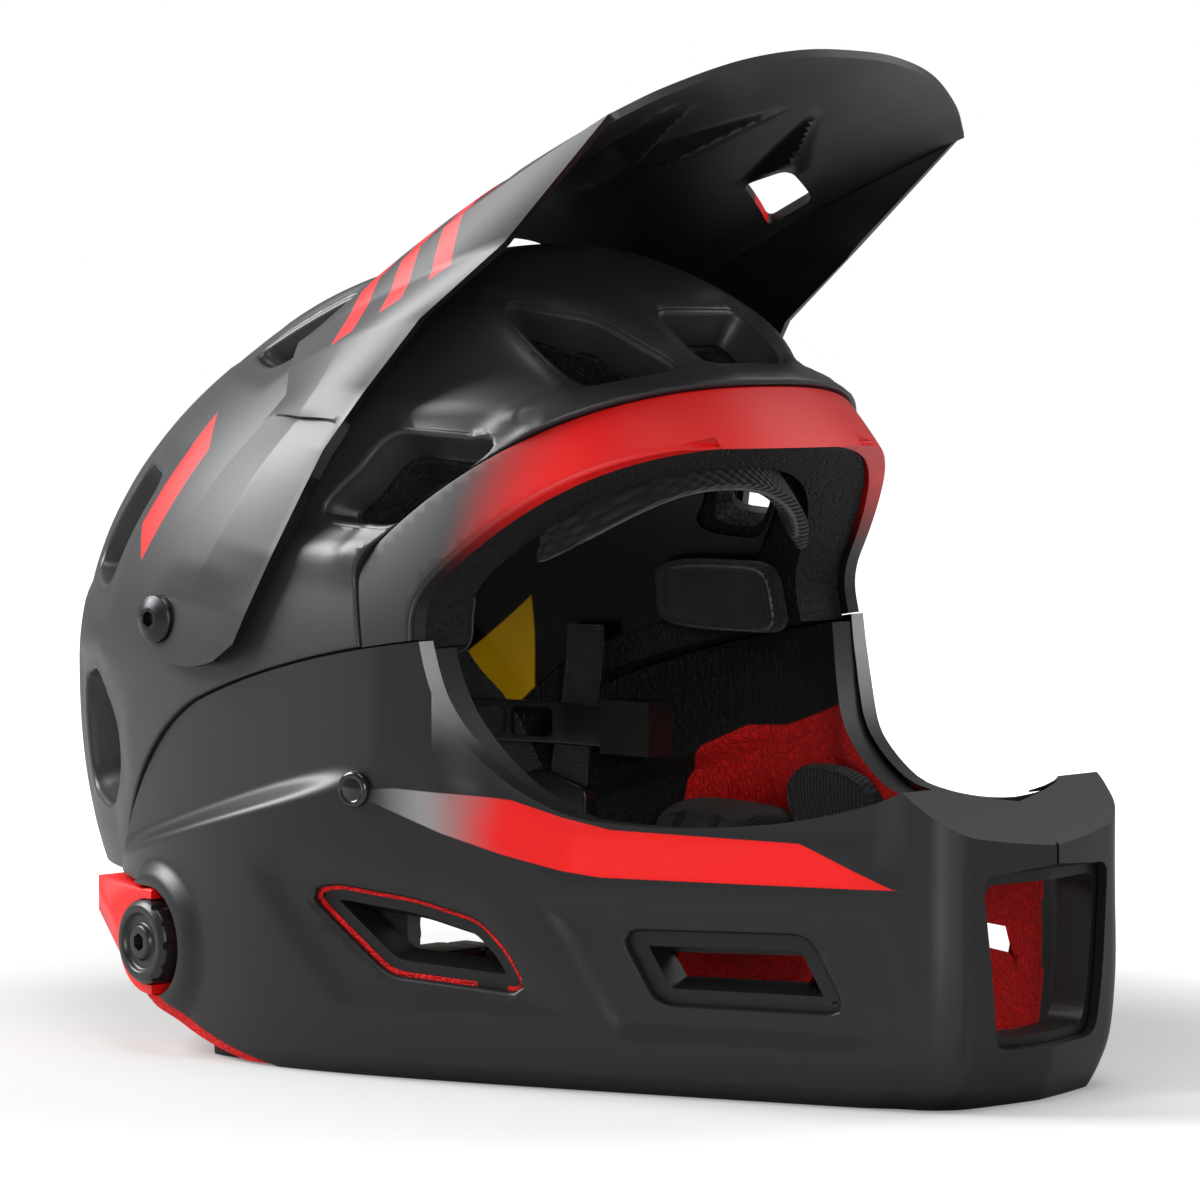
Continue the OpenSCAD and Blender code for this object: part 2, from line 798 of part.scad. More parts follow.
function base_edge(e, back) = concat(
    [for (i = [0:bar_n - 1]) if (bar_plan[i][1] < back) bar_in(i, e)],
    [for (i = [bar_n - 2:-1:0]) if (bar_plan[i][1] < back)
        let (p = bar_in(i, e)) [-p[0], p[1]]]
);

// Strip along the chin bar's plan line between two depths, open at the rear
module base_plan(from, to, back) {
    difference() {
        polygon(base_edge(from, back));
        polygon(base_edge(to, back));
        translate([-70, -20]) square([140, 80]);
    }
}

module base_room(grow = 0) {
    translate([0, 0, -3]) linear_extrude(base_h + 3 + grow) base_plan(-4, 34, 30);
}

module base_trim() {
    color(black) linear_extrude(base_h) base_plan(7 + bar_t + layer_gap, 7 + bar_t + layer_gap + base_w, 10);
}

// Cushion on the inside of the chin bar, over spans of y and z, its top leaning inwards
module bar_pad(y0, y1, z0, z1, t, lean = 0, seat = 1.6) {
    spots = [for (j = [0:pad_rows - 1], i = [0:pad_cols - 1])
        [2 * i / (pad_cols - 1) - 1, 2 * j / (pad_rows - 1) - 1]];
    base = -bar_t - bar_foam_t - 2 * layer_gap - seat;
    function depth(s) = base - lean * (s[1] + 1) / 2;
    function py(s) = (y0 + y1) / 2 + (y1 - y0) / 2 * s[0];
    function pz(s) = (z0 + z1) / 2 + (z1 - z0) / 2 * s[1];
    two_sided(
        [for (s = spots) bar_side(py(s), pz(s), depth(s))],
        [for (s = spots) bar_side(py(s), pz(s), depth(s) - t * pillow(s[0], s[1]))],
        pad_rows, pad_cols
    );
}

module cheek_pads() {
    color(black) pair() bar_pad(-58, 4, 17, 70, 17);
}

module mesh_pads() {
    color("#202020") pair() bar_pad(-117, -64, 56, 79, 5, 4.4, 0.7);
}

// Round caps beside the port
rivet_y = -58;
rivet_z = 86;
rivet_r = 5.5;

module at_rivet(d) {
    translate([bar_x(rivet_y), rivet_y, rivet_z]) rotate([0, 90, -10]) translate([0, 0, d]) children();
}

module bar_rivets() {
    color("#0a0a0a")
    pair() at_rivet(-0.4)
        rotate_extrude($fn = 48)
            polygon([[0, 0], [rivet_r, 0], [rivet_r, 1], [rivet_r - 0.8, 1.8], [0, 2.1]]);
}

// Red receiver on the helmet's side: it hugs the dial from behind as the bar seats
module release_collar(side) {
    color(red)
    difference() {
        union() {
            at_dial(side, -8) cylinder(h = 8 + dial_h - 3, r = collar_r, $fn = 48);
            on_side(side) hull() {
                at_dial("left", -8) translate([0, 6, 0]) cylinder(h = 7, r = collar_r - 1, $fn = 32);
                translate([dial_x - 34, 58, nape_z - layer_gap - 11]) cube([20, 12, 11]);
            }
        }
        at_dial(side, -20) cylinder(h = 60, r = dial_r + layer_gap, $fn = 48);
        // Mouth of the fork, open forwards
        on_side(side) translate([dial_x - 40, dial_y - 80, dial_z - dial_r - layer_gap])
            cube([80, 80, 2 * (dial_r + layer_gap)]);
        on_side(side) translate([dial_x - 40, dial_y - 80, -5]) cube([80, 78, 90]);
    }
}

module dial_bearing(side) {
    color("#555555")
    at_dial(side, -16)
    difference() {
        cylinder(h = 14, r = dial_r - 0.5, $fn = 48);
        translate([0, 0, 3]) cylinder(h = 20, r = spindle_r + run_gap, $fn = 48);
    }
}

module release_dial(side) {
    color(black)
    at_dial(side, 0)
    difference() {
        union() {
            rotate_extrude($fn = 64)
                polygon([[0, -1.4], [dial_r - 1, -1.4], [dial_r, -0.4], [dial_r, dial_h - 2],
                         [dial_r - 1.6, dial_h], [dial_r - 4, dial_h], [dial_r - 4.6, dial_h - 0.8],
                         [5.2, dial_h - 0.8], [4.6, dial_h], [0, dial_h]]);
            translate([0, 0, -11]) cylinder(h = 12, r = spindle_r, $fn = 48);
        }
        // Finger grips round the rim
        for (k = [0:5])
            rotate([0, 0, 30 + 60 * k]) translate([dial_r + 1.2, 0, 1]) cylinder(h = 12, r = 2, $fn = 24);
    }
}

// Fit system: a band round the back of the head, worked by a dial at the nape
fit_z = 66;
band_z = 84;
band_a = shell_half_w + slip_in - 7;
band_b = shell_rear + slip_in - 8;
cradle_y = belt_y + band_b - 9;
band_bend_y = 22;
guide_y = -8;

function band_x(y) = band_a * pow(1 - pow((y - belt_y) / band_b, plan_power), 1 / plan_power);

// Plan line of the band from the left end of its bend round to the right, e mm inside it
function band_edge(e) = [
    for (k = [0:48])
        let (
            low = asin(pow((band_bend_y - belt_y) / band_b, plan_power / 2)),
            a = low + (180 - 2 * low) * k / 48
        )
        [(band_a - e) * signed_pow(cos(a), 2 / plan_power),
         belt_y + (band_b - e) * pow(sin(a), 2 / plan_power)]
];

band_end_x = band_x(band_bend_y);

module rear_cradle() {
    color("#262626")
    difference() {
        union() {
            translate([0, 0, band_z]) linear_extrude(band_h) {
                difference() {
                    polygon(band_edge(0));
                    polygon(band_edge(band_t));
                    translate([-wide / 2, 0]) square([wide, band_bend_y]);
                }
                // Straight ends that slide in the guides
                for (s = [-1, 1])
                    translate([s * (band_end_x - band_t / 2) - band_t / 2, guide_y])
                        square([band_t, band_bend_y + 2 - guide_y]);
            }
            // Nape plate that carries the dial
            translate([0, cradle_y, 0]) {
                translate([-24, 0, fit_z - 14]) cube([48, 5, 14 + band_z + band_h - fit_z]);
                translate([0, 5, fit_z]) rotate([90, 0, 0]) cylinder(h = 5, r = 20, $fn = 48);
                translate([-14, 0, band_z]) cube([28, 7.4, band_h]);
            }
        }
        translate([0, cradle_y - 1, fit_z]) rotate([-90, 0, 0]) cylinder(h = 12, r = spindle_r + run_gap, $fn = 48);
    }
}

module fit_dial() {
    color(black)
    translate([0, cradle_y, fit_z]) rotate([-90, 0, 0])
    difference() {
        union() {
            translate([0, 0, 5.2]) cylinder(h = 8, r = fit_dial_r, $fn = 48);
            translate([0, 0, -1.6]) cylinder(h = 8, r = spindle_r, $fn = 48);
            translate([0, 0, -1.6]) cylinder(h = 1.4, r = spindle_r + 2, $fn = 48);
        }
        for (k = [0:11])
            rotate([0, 0, 30 * k]) translate([fit_dial_r + 1, 0, 4]) cylinder(h = 12, r = 2.2, $fn = 16);
    }
}

module nape_pad() {
    color(black)
    translate([0, cradle_y - layer_gap, 0])
        pillow_block([-22, -7, band_z - 4], [22, 0, band_z + band_h - 2]);
}

// Cushion that fills a box, crowned towards -Y
module pillow_block(a, b) {
    spots = [for (j = [0:pad_rows - 1], i = [0:pad_cols - 1])
        [2 * i / (pad_cols - 1) - 1, 2 * j / (pad_rows - 1) - 1]];
    function px(s) = (a[0] + b[0]) / 2 - (b[0] - a[0]) / 2 * s[0];
    function pz(s) = (a[2] + b[2]) / 2 + (b[2] - a[2]) / 2 * s[1];
    two_sided(
        [for (s = spots) [px(s), b[1], pz(s)]],
        [for (s = spots) [px(s), b[1] - (b[1] - a[1]) * pillow(s[0], s[1]), pz(s)]],
        pad_rows, pad_cols
    );
}

// Guides on the foam in which the ends of the fit band slide
guide_out = form_x(guide_y + 12, band_z - 4, slip_in) - layer_gap;

module fit_guides() {
    color("#262626")
    pair() difference() {
        translate([band_end_x - band_t - 2, guide_y - fit_travel - 3, band_z - 2])
            cube([guide_out - band_end_x + band_t + 2, fit_travel + 14, band_h + 4]);
        translate([band_end_x - band_t - layer_gap, guide_y - fit_travel - 1, band_z - layer_gap])
            cube([band_t + 2 * layer_gap, fit_travel + 40, band_h + 2 * layer_gap]);
    }
}

// Straps: two legs a side from anchors on the foam, a divider, and the run under the chin
buckle_z = 20;
chin_y = 6;
tail_end = 26 + tongue_travel;
strap_x = band_end_x + 3.2;
divider_x = strap_x - 3.8;
divider_y = 20;
leg_end = [divider_x, 37, 66];
leg_bend = [divider_x, 42, 74.7];
// How far the rear leg's anchor and its next bend lie inside the liner
anchor_depth = 6.789631;
leg_depth = 3.504366;
anchor_front = [strap_x, 16, 118];
anchor_rear = [form_x(66, 112, slip_in) - anchor_depth, 66, 112];
leg_turn = [form_x(52, 93, slip_in) - leg_depth, 52, 93];
front_leg = [
    anchor_front + [0, 0, 6], anchor_front, [strap_x - 0.7, 18, 98], [strap_x - 1.7, divider_y, 85],
    [divider_x, divider_y, 77], [divider_x, divider_y, 48], [64.5, 14, 40]
];
rear_leg = [anchor_rear + [-0.3, 4, 5], anchor_rear, anchor_rear + [0.4, -6.5, -8], leg_turn, leg_bend, leg_end];
chin_left = [
    [tail_end + tongue_travel + 8, 8, buckle_z + 8],
    [tail_end + tongue_travel + 5, chin_y, buckle_z - 1.2],
    [tail_end + tongue_travel + 2, chin_y, buckle_z - web_t - 1],
    [tail_end - 10, chin_y, buckle_z - web_t - 1]
];
chin_right = [[-60, 9, 30], [-50, chin_y, buckle_z + 1], [-46, chin_y, buckle_z], [-21, chin_y, buckle_z]];

// Flat webbing along points, its width lying along one direction
module webbing(points, across, w = web_w, t = web_t) {
    n = len(points);
    function along(i) = unit(points[min(i + 1, n - 1)] - points[max(i - 1, 0)]);
    function thick(i) = unit(cross(along(i), across));
    function wide_dir(i) = unit(cross(thick(i), along(i)));
    polyhedron(
        points = [for (i = [0:n - 1]) each [
            points[i] + wide_dir(i) * w / 2 + thick(i) * t / 2,
            points[i] + wide_dir(i) * w / 2 - thick(i) * t / 2,
            points[i] - wide_dir(i) * w / 2 - thick(i) * t / 2,
            points[i] - wide_dir(i) * w / 2 + thick(i) * t / 2
        ]],
        faces = ring_faces(n, 4)
    );
}

module strap_anchors() {
    color(black)
    pair() for (p = [anchor_front, anchor_rear])
        translate([p[0] + web_t / 2 + layer_gap, p[1], p[2]]) rotate([0, 90, 0]) cylinder(h = 1.2, r = 6, $fn = 48);
}

function mirrored(points) = [for (p = points) [-p[0], p[1], p[2]]];

module straps() {
    color("#1c1c1c") {
        webbing(concat(front_leg, chin_left), [0, 1, 0]);
        webbing(concat(mirrored(front_leg), chin_right), [0, 1, 0]);
        pair() webbing(rear_leg, [0, 0.78, -0.62]);
    }
}

// Divider: a plate with a slot for the long strap and one for the end of the rear leg
module strap_dividers() {
    slot_t = web_t + 2 * layer_gap;
    slot_w = web_w + 2 * layer_gap;
    inner_t = 3.5;
    outer_t = 2.7;
    color(black)
    pair() difference() {
        translate([divider_x - inner_t, 0, 0]) rotate([90, 0, 90]) linear_extrude(inner_t + outer_t)
            polygon([[9.5, 49], [30.5, 49], [50, 62], [46, 70], [31, 75.5], [9.5, 70]]);
        translate([divider_x - slot_t / 2, divider_y - slot_w / 2, 44]) cube([slot_t, slot_w, 40]);
        translate([divider_x - slot_t / 2, leg_end[1], leg_end[2]])
            rotate([-atan2(leg_bend[1] - leg_end[1], leg_bend[2] - leg_end[2]), 0, 0])
                translate([0, -slot_w / 2, -layer_gap]) cube([slot_t, slot_w, 30]);
    }
}

// Buckle: a catch on the right hand strap and a tongue that plugs into it along X
catch_w = web_w + 5;
catch_h = 8;

module buckle_catch() {
    color(black) translate([0, chin_y, buckle_z]) difference() {
        translate([-27, -catch_w / 2, -catch_h / 2]) cube([29, catch_w, catch_h]);
        // Slot for the webbing
        translate([-28, -web_w / 2 - layer_gap, -web_t / 2 - layer_gap])
            cube([8, web_w + 2 * layer_gap, web_t + 2 * layer_gap]);
        // Socket for the tongue
        translate([-15, -web_w / 2 - layer_gap, -1.8]) cube([20, web_w + 2 * layer_gap, 3.6]);
        // Windows for the tongue's prongs
        translate([-12, -catch_w, -1.8]) cube([8, 2 * catch_w, 3.6]);
    }
}

module buckle_tongue() {
    color(black) translate([0, chin_y, buckle_z]) difference() {
        union() {
            translate([2.4, -catch_w / 2, -3.5]) cube([11, catch_w, 7]);
            for (s = [-1, 1])
                translate([-11, s * (web_w / 2 - 1.5) - 1.5, -1.5]) cube([14, 3, 3]);
            translate([-14, -2, -1.5]) cube([17, 4, 3]);
        }
        translate([6, -web_w / 2 - layer_gap, -web_t / 2 - layer_gap])
            cube([12, web_w + 2 * layer_gap, web_t + 2 * layer_gap]);
    }
}

// Free end of the left hand strap, fixed in the tongue and lapped over the strap
module strap_tail() {
    color("#1c1c1c")
    webbing([[7, chin_y, buckle_z], [tail_end / 2, chin_y, buckle_z], [tail_end, chin_y, buckle_z]], [0, 1, 0]);
}

outer_shell();
foam_liner();
brow_trim();
slip_liner();
brow_pad();
crown_pads();
temple_pads();
visor();
visor_bush("left");  // visor_bush_left
visor_bush("right");  // visor_bush_right
visor_screw("left");  // visor_screw_left
visor_screw("right");  // visor_screw_right
visor_insert("left");  // visor_insert_left
visor_insert("right");  // visor_insert_right
chin_bar_shell();
chin_bar_liner();
base_trim();
cheek_pads();
mesh_pads();
bar_rivets();
release_collar("left");  // release_collar_left
release_collar("right");  // release_collar_right
dial_bearing("left");  // dial_bearing_left
dial_bearing("right");  // dial_bearing_right
release_dial("left");  // release_dial_left
release_dial("right");  // release_dial_right
fit_guides();
rear_cradle();
nape_pad();
fit_dial();
strap_anchors();
straps();
strap_dividers();
buckle_catch();
buckle_tongue();
strap_tail();
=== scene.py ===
"""Full face bike helmet: the dressed model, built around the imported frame.

Sizes are in millimetres up to the moment a mesh is written, where MM turns them to metres.
"""

from __future__ import annotations

import logging
import math
from dataclasses import dataclass
from enum import Enum
from typing import Callable, Sequence

import bpy
import numpy as np
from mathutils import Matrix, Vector


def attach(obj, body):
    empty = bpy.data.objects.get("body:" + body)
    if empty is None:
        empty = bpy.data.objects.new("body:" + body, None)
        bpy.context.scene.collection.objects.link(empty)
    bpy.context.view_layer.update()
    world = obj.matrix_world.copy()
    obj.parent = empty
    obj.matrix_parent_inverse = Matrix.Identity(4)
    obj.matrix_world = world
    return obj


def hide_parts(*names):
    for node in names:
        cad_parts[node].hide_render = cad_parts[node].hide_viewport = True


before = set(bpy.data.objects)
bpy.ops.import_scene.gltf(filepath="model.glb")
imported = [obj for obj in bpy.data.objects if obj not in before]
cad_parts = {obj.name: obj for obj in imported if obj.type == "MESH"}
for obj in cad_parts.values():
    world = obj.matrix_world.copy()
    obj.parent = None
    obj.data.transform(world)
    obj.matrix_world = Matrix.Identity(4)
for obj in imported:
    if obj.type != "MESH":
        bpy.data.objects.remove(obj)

# Metres in a millimetre
MM = 0.001
Array = np.ndarray
Piece = bpy.types.Object
Material = bpy.types.Material
Socket = bpy.types.NodeSocket
log = logging.getLogger("helmet")


class Side(Enum):
    """The wearer's sides of the helmet, as signs of X."""

    LEFT = 1
    RIGHT = -1


# Maths that the pieces share


def smooth(value: Array | float, low: float, high: float) -> Array:
    """Soft step from 0 at low to 1 at high.

    Args:
        value: Place or places to judge.
        low: Where the step starts.
        high: Where the step ends.

    Returns:
        The share of the step at each place.
    """
    t = np.clip((np.asarray(value, float) - low) / (high - low), 0, 1)
    return t * t * (3 - 2 * t)


def signed_pow(value: Array, power: float) -> Array:
    """Power that keeps the sign of each value."""
    return np.sign(value) * np.abs(value) ** power


def unit(vectors: Array) -> Array:
    """Vectors of length one along the last axis."""
    return vectors / np.maximum(np.linalg.norm(vectors, axis=-1, keepdims=True), 1e-9)


def quarter(spans: int) -> Array:
    """Angles of a quarter turn in even steps."""
    return np.linspace(0, math.pi / 2, spans + 1)


def oblong(a0: float, a1: float, b0: float, b1: float) -> list:
    """Corners of a rectangle in order."""
    return [(a0, b0), (a1, b0), (a1, b1), (a0, b1)]


def stood_at(loop: Array, y: float) -> Array:
    """Loop of (x, z) stood upright at a place along the helmet."""
    return np.column_stack([loop[:, 0], np.full(len(loop), y), loop[:, 1]])


def outwards(loop: Array) -> Array:
    """Directions out of a flat closed loop, one for each of its points."""
    along = unit(np.roll(loop, -1, axis=0) - np.roll(loop, 1, axis=0))
    away = np.column_stack([along[:, 1], -along[:, 0]])
    return -away if np.mean(np.sum(away * (loop - loop.mean(axis=0)), axis=1)) < 0 else away


def bezier(a: Sequence, b: Sequence, c: Sequence, d: Sequence, count: int = 16) -> Array:
    """Points along a cubic curve.

    Args:
        a: First end.
        b: Handle of the first end.
        c: Handle of the second end.
        d: Second end.
        count: Number of spans.

    Returns:
        The points, both ends among them.
    """
    t = np.linspace(0, 1, count + 1)[:, None]
    s = 1 - t
    a, b, c, d = (np.asarray(p, float) for p in (a, b, c, d))
    return s**3 * a + 3 * s * s * t * b + 3 * s * t * t * c + t**3 * d


def rounded(points: Sequence, radius: float | Sequence, count: int = 4, closed: bool = False) -> Array:
    """Polyline whose corners are rounded.

    Args:
        points: Corners.
        radius: How far the rounding reaches from each corner, one for all or one each.
        count: Spans in each rounded corner.
        closed: True for a loop.

    Returns:
        The points of the rounded line.
    """
    pts = [np.asarray(p, float) for p in points]
    n = len(pts)
    reach = [radius] * n if np.isscalar(radius) else list(radius)
    out = [] if closed else [pts[0]]
    for i in range(n) if closed else range(1, n - 1):
        p, a, b = pts[i], pts[i - 1], pts[(i + 1) % n]
        la, lb = np.linalg.norm(a - p), np.linalg.norm(b - p)
        start = p + (a - p) * min(reach[i], 0.48 * la) / la
        end = p + (b - p) * min(reach[i], 0.48 * lb) / lb
        for k in range(count + 1):
            t = k / count
            out.append((1 - t) ** 2 * start + 2 * t * (1 - t) * p + t * t * end)
    if not closed:
        out.append(pts[-1])
    return np.array(out)


def eased(foot: Sequence, line: Array, reach: float) -> Array:
    """Line with a straight leg before it, the corner between them rounded.

    Args:
        foot: Start of the leg.
        line: The line, which starts at the corner.
        reach: How far the rounding reaches from the corner.

    Returns:
        The whole line.
    """
    foot, corner = np.asarray(foot, float), line[0]
    away = np.linalg.norm(line - corner, axis=1)
    rest = line[away > reach]
    start = corner + unit(foot - corner) * reach
    t = np.linspace(0, 1, 7)[:, None]
    turn = (1 - t) ** 2 * start + 2 * t * (1 - t) * corner + t**2 * rest[0]
    return np.vstack([foot[None], turn, rest[1:]])


def resample(points: Array, count: int, closed: bool = False) -> Array:
    """Points at even distances along a line.

    Args:
        points: The line.
        count: Number of points wanted.
        closed: True for a loop, whose first point isn't repeated.

    Returns:
        The even points.
    """
    pts = np.vstack([points, points[:1]]) if closed else np.asarray(points, float)
    run = np.concatenate([[0], np.cumsum(np.linalg.norm(np.diff(pts, axis=0), axis=1))])
    wanted = np.linspace(0, run[-1], count + 1)[:-1] if closed else np.linspace(0, run[-1], count)
    return np.stack([np.interp(wanted, run, pts[:, k]) for k in range(pts.shape[1])], axis=1)


def gauge(points: Array, corners: Sequence) -> Array:
    """How far out places lie in a convex outline: 0 at its middle, 1 on its edge.

    Args:
        points: Places as (..., 2).
        corners: The outline.

    Returns:
        The share at each place.
    """
    pts = np.asarray(corners, float)
    centre = pts.mean(axis=0)
    worst = np.zeros(points.shape[:-1])
    for i, a in enumerate(pts):
        b = pts[(i + 1) % len(pts)]
        normal = np.array([b[1] - a[1], a[0] - b[0]])
        worst = np.maximum(worst, (points - centre) @ normal / np.dot(a - centre, normal))
    return worst


def edge_distance(points: Array, corners: Sequence) -> Array:
    """Distance outside a convex outline, negative inside it.

    Args:
        points: Places as (..., 2).
        corners: The outline.

    Returns:
        Signed distance to the nearest side's line.
    """
    pts = np.asarray(corners, float)
    centre = pts.mean(axis=0)
    worst = np.full(points.shape[:-1], -1e9)
    for i, a in enumerate(pts):
        b = pts[(i + 1) % len(pts)]
        normal = unit(np.array([b[1] - a[1], a[0] - b[0]]))
        if np.dot(a - centre, normal) < 0:
            normal = -normal
        worst = np.maximum(worst, (points - a) @ normal)
    return worst


# Mesh work that the pieces share


def active(piece: Piece) -> None:
    """Leaves one object selected and active."""
    bpy.ops.object.select_all(action="DESELECT")
    piece.select_set(True)
    bpy.context.view_layer.objects.active = piece


def edit(piece: Piece, work: Callable[[], None]) -> None:
    """Runs edit mode operators on all of a piece.

    Args:
        piece: The piece.
        work: What to do once all is selected.
    """
    active(piece)
    bpy.ops.object.mode_set(mode="EDIT")
    bpy.ops.mesh.select_all(action="SELECT")
    work()
    bpy.ops.object.mode_set(mode="OBJECT")


def closed_up() -> None:
    """Merges doubles, caps open ends and turns the faces outwards, in edit mode."""
    bpy.ops.mesh.remove_doubles(threshold=2e-6)
    bpy.ops.mesh.fill_holes(sides=0)
    bpy.ops.mesh.select_all(action="SELECT")
    bpy.ops.mesh.normals_make_consistent(inside=False)


def loft(name: str, grid: Array, open_edges: bool = False) -> Piece:
    """Skin over a grid of points, closed where its edges meet and capped where they don't.

    Args:
        name: Name of the piece.
        grid: Points as (rows, columns, 3), in millimetres.
        open_edges: True leaves the skin open.

    Returns:
        The new object.
    """
    rows, cols = grid.shape[:2]
    bpy.ops.object.select_all(action="DESELECT")
    bpy.ops.mesh.primitive_grid_add(x_subdivisions=cols - 1, y_subdivisions=rows - 1, size=2)
    piece = bpy.context.object
    piece.name = piece.data.name = name
    piece.data.vertices.foreach_set("co", (grid * MM).astype(np.float32).ravel())
    piece.data.update()
    if not open_edges:
        edit(piece, closed_up)
    return piece


def ring_loft(name: str, rings: Array) -> Piece:
    """Closed solid over loops of points, the loops closed and both ends capped."""
    return loft(name, np.concatenate([rings, rings[:, :1]], axis=1))


def apply_modifier(piece: Piece, kind: str, **settings: object) -> None:
    """Adds a modifier and applies it.

    Args:
        piece: The piece.
        kind: The modifier's type.
        settings: Values for the modifier.
    """
    active(piece)
    modifier = piece.modifiers.new(kind.lower(), kind)
    for key, value in settings.items():
        setattr(modifier, key, value)
    bpy.ops.object.modifier_apply(modifier=modifier.name)


class Join(Enum):
    """How one solid is set against another."""

    CUT = "DIFFERENCE"
    KEEP = "INTERSECT"
    ADD = "UNION"


def combine(piece: Piece, other: Piece, how: Join = Join.CUT, keep: bool = False) -> None:
    """Sets one solid against another.

    Args:
        piece: The solid that stays.
        other: The solid that works on it.
        how: What is done.
        keep: True keeps the other solid for later.
    """
    apply_modifier(piece, "BOOLEAN", object=other, operation=how.value, solver="MANIFOLD")
    if not keep:
        drop(other)


def drop(piece: Piece) -> None:
    """Deletes a helper object and its mesh."""
    mesh = piece.data
    bpy.data.objects.remove(piece)
    bpy.data.meshes.remove(mesh)


def joined(name: str, pieces: Sequence[Piece]) -> Piece:
    """Makes one object of several.

    Args:
        name: Name of the result.
        pieces: The objects, which may not overlap.

    Returns:
        The one object.
    """
    bpy.ops.object.select_all(action="DESELECT")
    for piece in pieces:
        piece.select_set(True)
    bpy.context.view_layer.objects.active = pieces[0]
    if len(pieces) > 1:
        bpy.ops.object.join()
    pieces[0].name = pieces[0].data.name = name
    return pieces[0]


def mirrored(piece: Piece, name: str) -> Piece:
    """Copy of a piece on the other side of the middle plane, faces outwards.

    Args:
        piece: The piece.
        name: Name of the copy.

    Returns:
        The copy.
    """
    active(piece)
    bpy.ops.object.duplicate()
    copy = bpy.context.object
    copy.name = copy.data.name = name
    copy.scale.x = -1
    bpy.ops.object.transform_apply(location=True, rotation=True, scale=True)
    edit(copy, lambda: bpy.ops.mesh.normals_make_consistent(inside=False))
    return copy


def prism(name: str, outline: Array) -> Piece:
    """Side view outline of (y, z) pushed through the whole width."""
    line = np.asarray(outline, float)
    return ring_loft(name, np.stack([np.column_stack([np.full(len(line), x), line]) for x in (-ROOM, ROOM)]))


def sweep(name: str, path: Array, normals: Array, profile: Array, closed: bool = False) -> Piece:
    """Solid of one cross-section carried along a path on a surface.

    Args:
        name: Name of the solid.
        path: Points on the surface.
        normals: Directions out of the surface at those points.
        profile: Cross-section as (sideways, outwards), where sideways is path x normal.
        closed: True for a loop.

    Returns:
        The solid.
    """
    if closed:
        ahead, behind = np.roll(path, -1, axis=0), np.roll(path, 1, axis=0)
    else:
        ahead, behind = np.vstack([path[1:], path[-1:]]), np.vstack([path[:1], path[:-1]])
    side = unit(np.cross(unit(ahead - behind), normals))
    up = unit(np.cross(side, unit(ahead - behind)))
    loop = np.vstack([profile, profile[:1]])
    grid = path[None] + loop[:, :1, None] * side[None] + loop[:, 1:, None] * up[None]
    if closed:
        grid = np.concatenate([grid, grid[:, :1]], axis=1)
    return loft(name, grid)


def soften(piece: Piece, path: Array, normals: Array, radius: float, off: Sequence) -> None:
    """Rounds the edge of a piece along a path.

    Args:
        piece: The piece.
        path: The edge.
        normals: Directions out of the piece's outer face there.
        radius: Radius of the rounding.
        off: Direction that leads off the piece, past its edge.
    """
    ahead = np.gradient(path, axis=0)
    turn = 1 if np.mean(np.cross(ahead, normals) @ np.asarray(off, float)) > 0 else -1
    combine(piece, sweep("edge", path, normals, lip_profile(radius) * [turn, 1]))


def lip_profile(radius: float) -> Array:
    """Cross-section that rounds an edge when it is cut away: sideways leads off the piece."""
    out, turn = 4, quarter(5)
    arc = np.column_stack([-radius + radius * np.sin(turn), -radius + radius * np.cos(turn)])
    return np.vstack([arc, [[out, -radius], [out, out], [-radius, out]]])


def shade(piece: Piece, angle: float = 32) -> None:
    """Smooth shading that keeps edges sharper than an angle in degrees."""
    active(piece)
    bpy.ops.object.shade_smooth_by_angle(angle=math.radians(angle))


# Finishes

WHITE = (1.0, 1.0, 1.0, 1.0)
CHARCOAL = "#303032"
# Darker charcoal: the black that the trim fades to, and on the chin bar painted shade over the shell's
# charcoal
CHARCOAL_DARK_AND_SHADE = "#161617"
PALE_GREY = "#A8A8A8"
NEAR_BLACK = "#040404"
SIGNAL_RED = "#F01414"


def linear(hex_colour: str) -> tuple[float, float, float, float]:
    """Linear colour of an sRGB hex value such as #3C3C3C."""
    parts = [int(hex_colour[i : i + 2], 16) / 255 for i in (1, 3, 5)]
    return tuple(c / 12.92 if c <= 0.04045 else ((c + 0.055) / 1.055) ** 2.4 for c in parts) + (1.0,)


def toned(colour: Sequence, by: float, add: float = 0.0) -> tuple[float, float, float, float]:
    """Linear colour made brighter or darker, at most white."""
    return tuple(min(1.0, c * by + add) for c in colour[:3]) + (1.0,)


class Nodes:
    """A node tree under construction: adds nodes, sets their values and links them."""

    def __init__(self, tree: bpy.types.NodeTree) -> None:
        """Takes up a tree."""
        self.tree = tree

    def node(self, kind: str, settings: dict | None = None, **inputs: object) -> bpy.types.Node:
        """Adds a node with its settings and links.

        Args:
            kind: The node's type.
            settings: Attributes of the node.
            inputs: Values or output sockets by input name, with _ for a space, or i0, i1 by place.

        Returns:
            The node.
        """
        made = self.tree.nodes.new(kind)
        for key, value in (settings or {}).items():
            setattr(made, key, value)
        for key, value in inputs.items():
            spot = int(key[1:]) if key[0] == "i" and key[1:].isdigit() else key.replace("_", " ")
            self.put(made.inputs[spot], value)
        return made

    def put(self, socket: Socket, value: object) -> None:
        """Sets a socket to a value, or links an output to it."""
        if isinstance(value, Socket):
            self.tree.links.new(value, socket)
        else:
            socket.default_value = value

    def math(self, operation: str, a: object, b: object = 0.0, c: object = 0.0) -> Socket:
        """Result of one Math node."""
        return self.node("ShaderNodeMath", {"operation": operation}, i0=a, i1=b, i2=c).outputs[0]

    def rays(self, kind: str) -> Socket:
        """1 for the rays of a kind and 0 for others."""
        return self.node("ShaderNodeLightPath").outputs[f"Is {kind} Ray"]


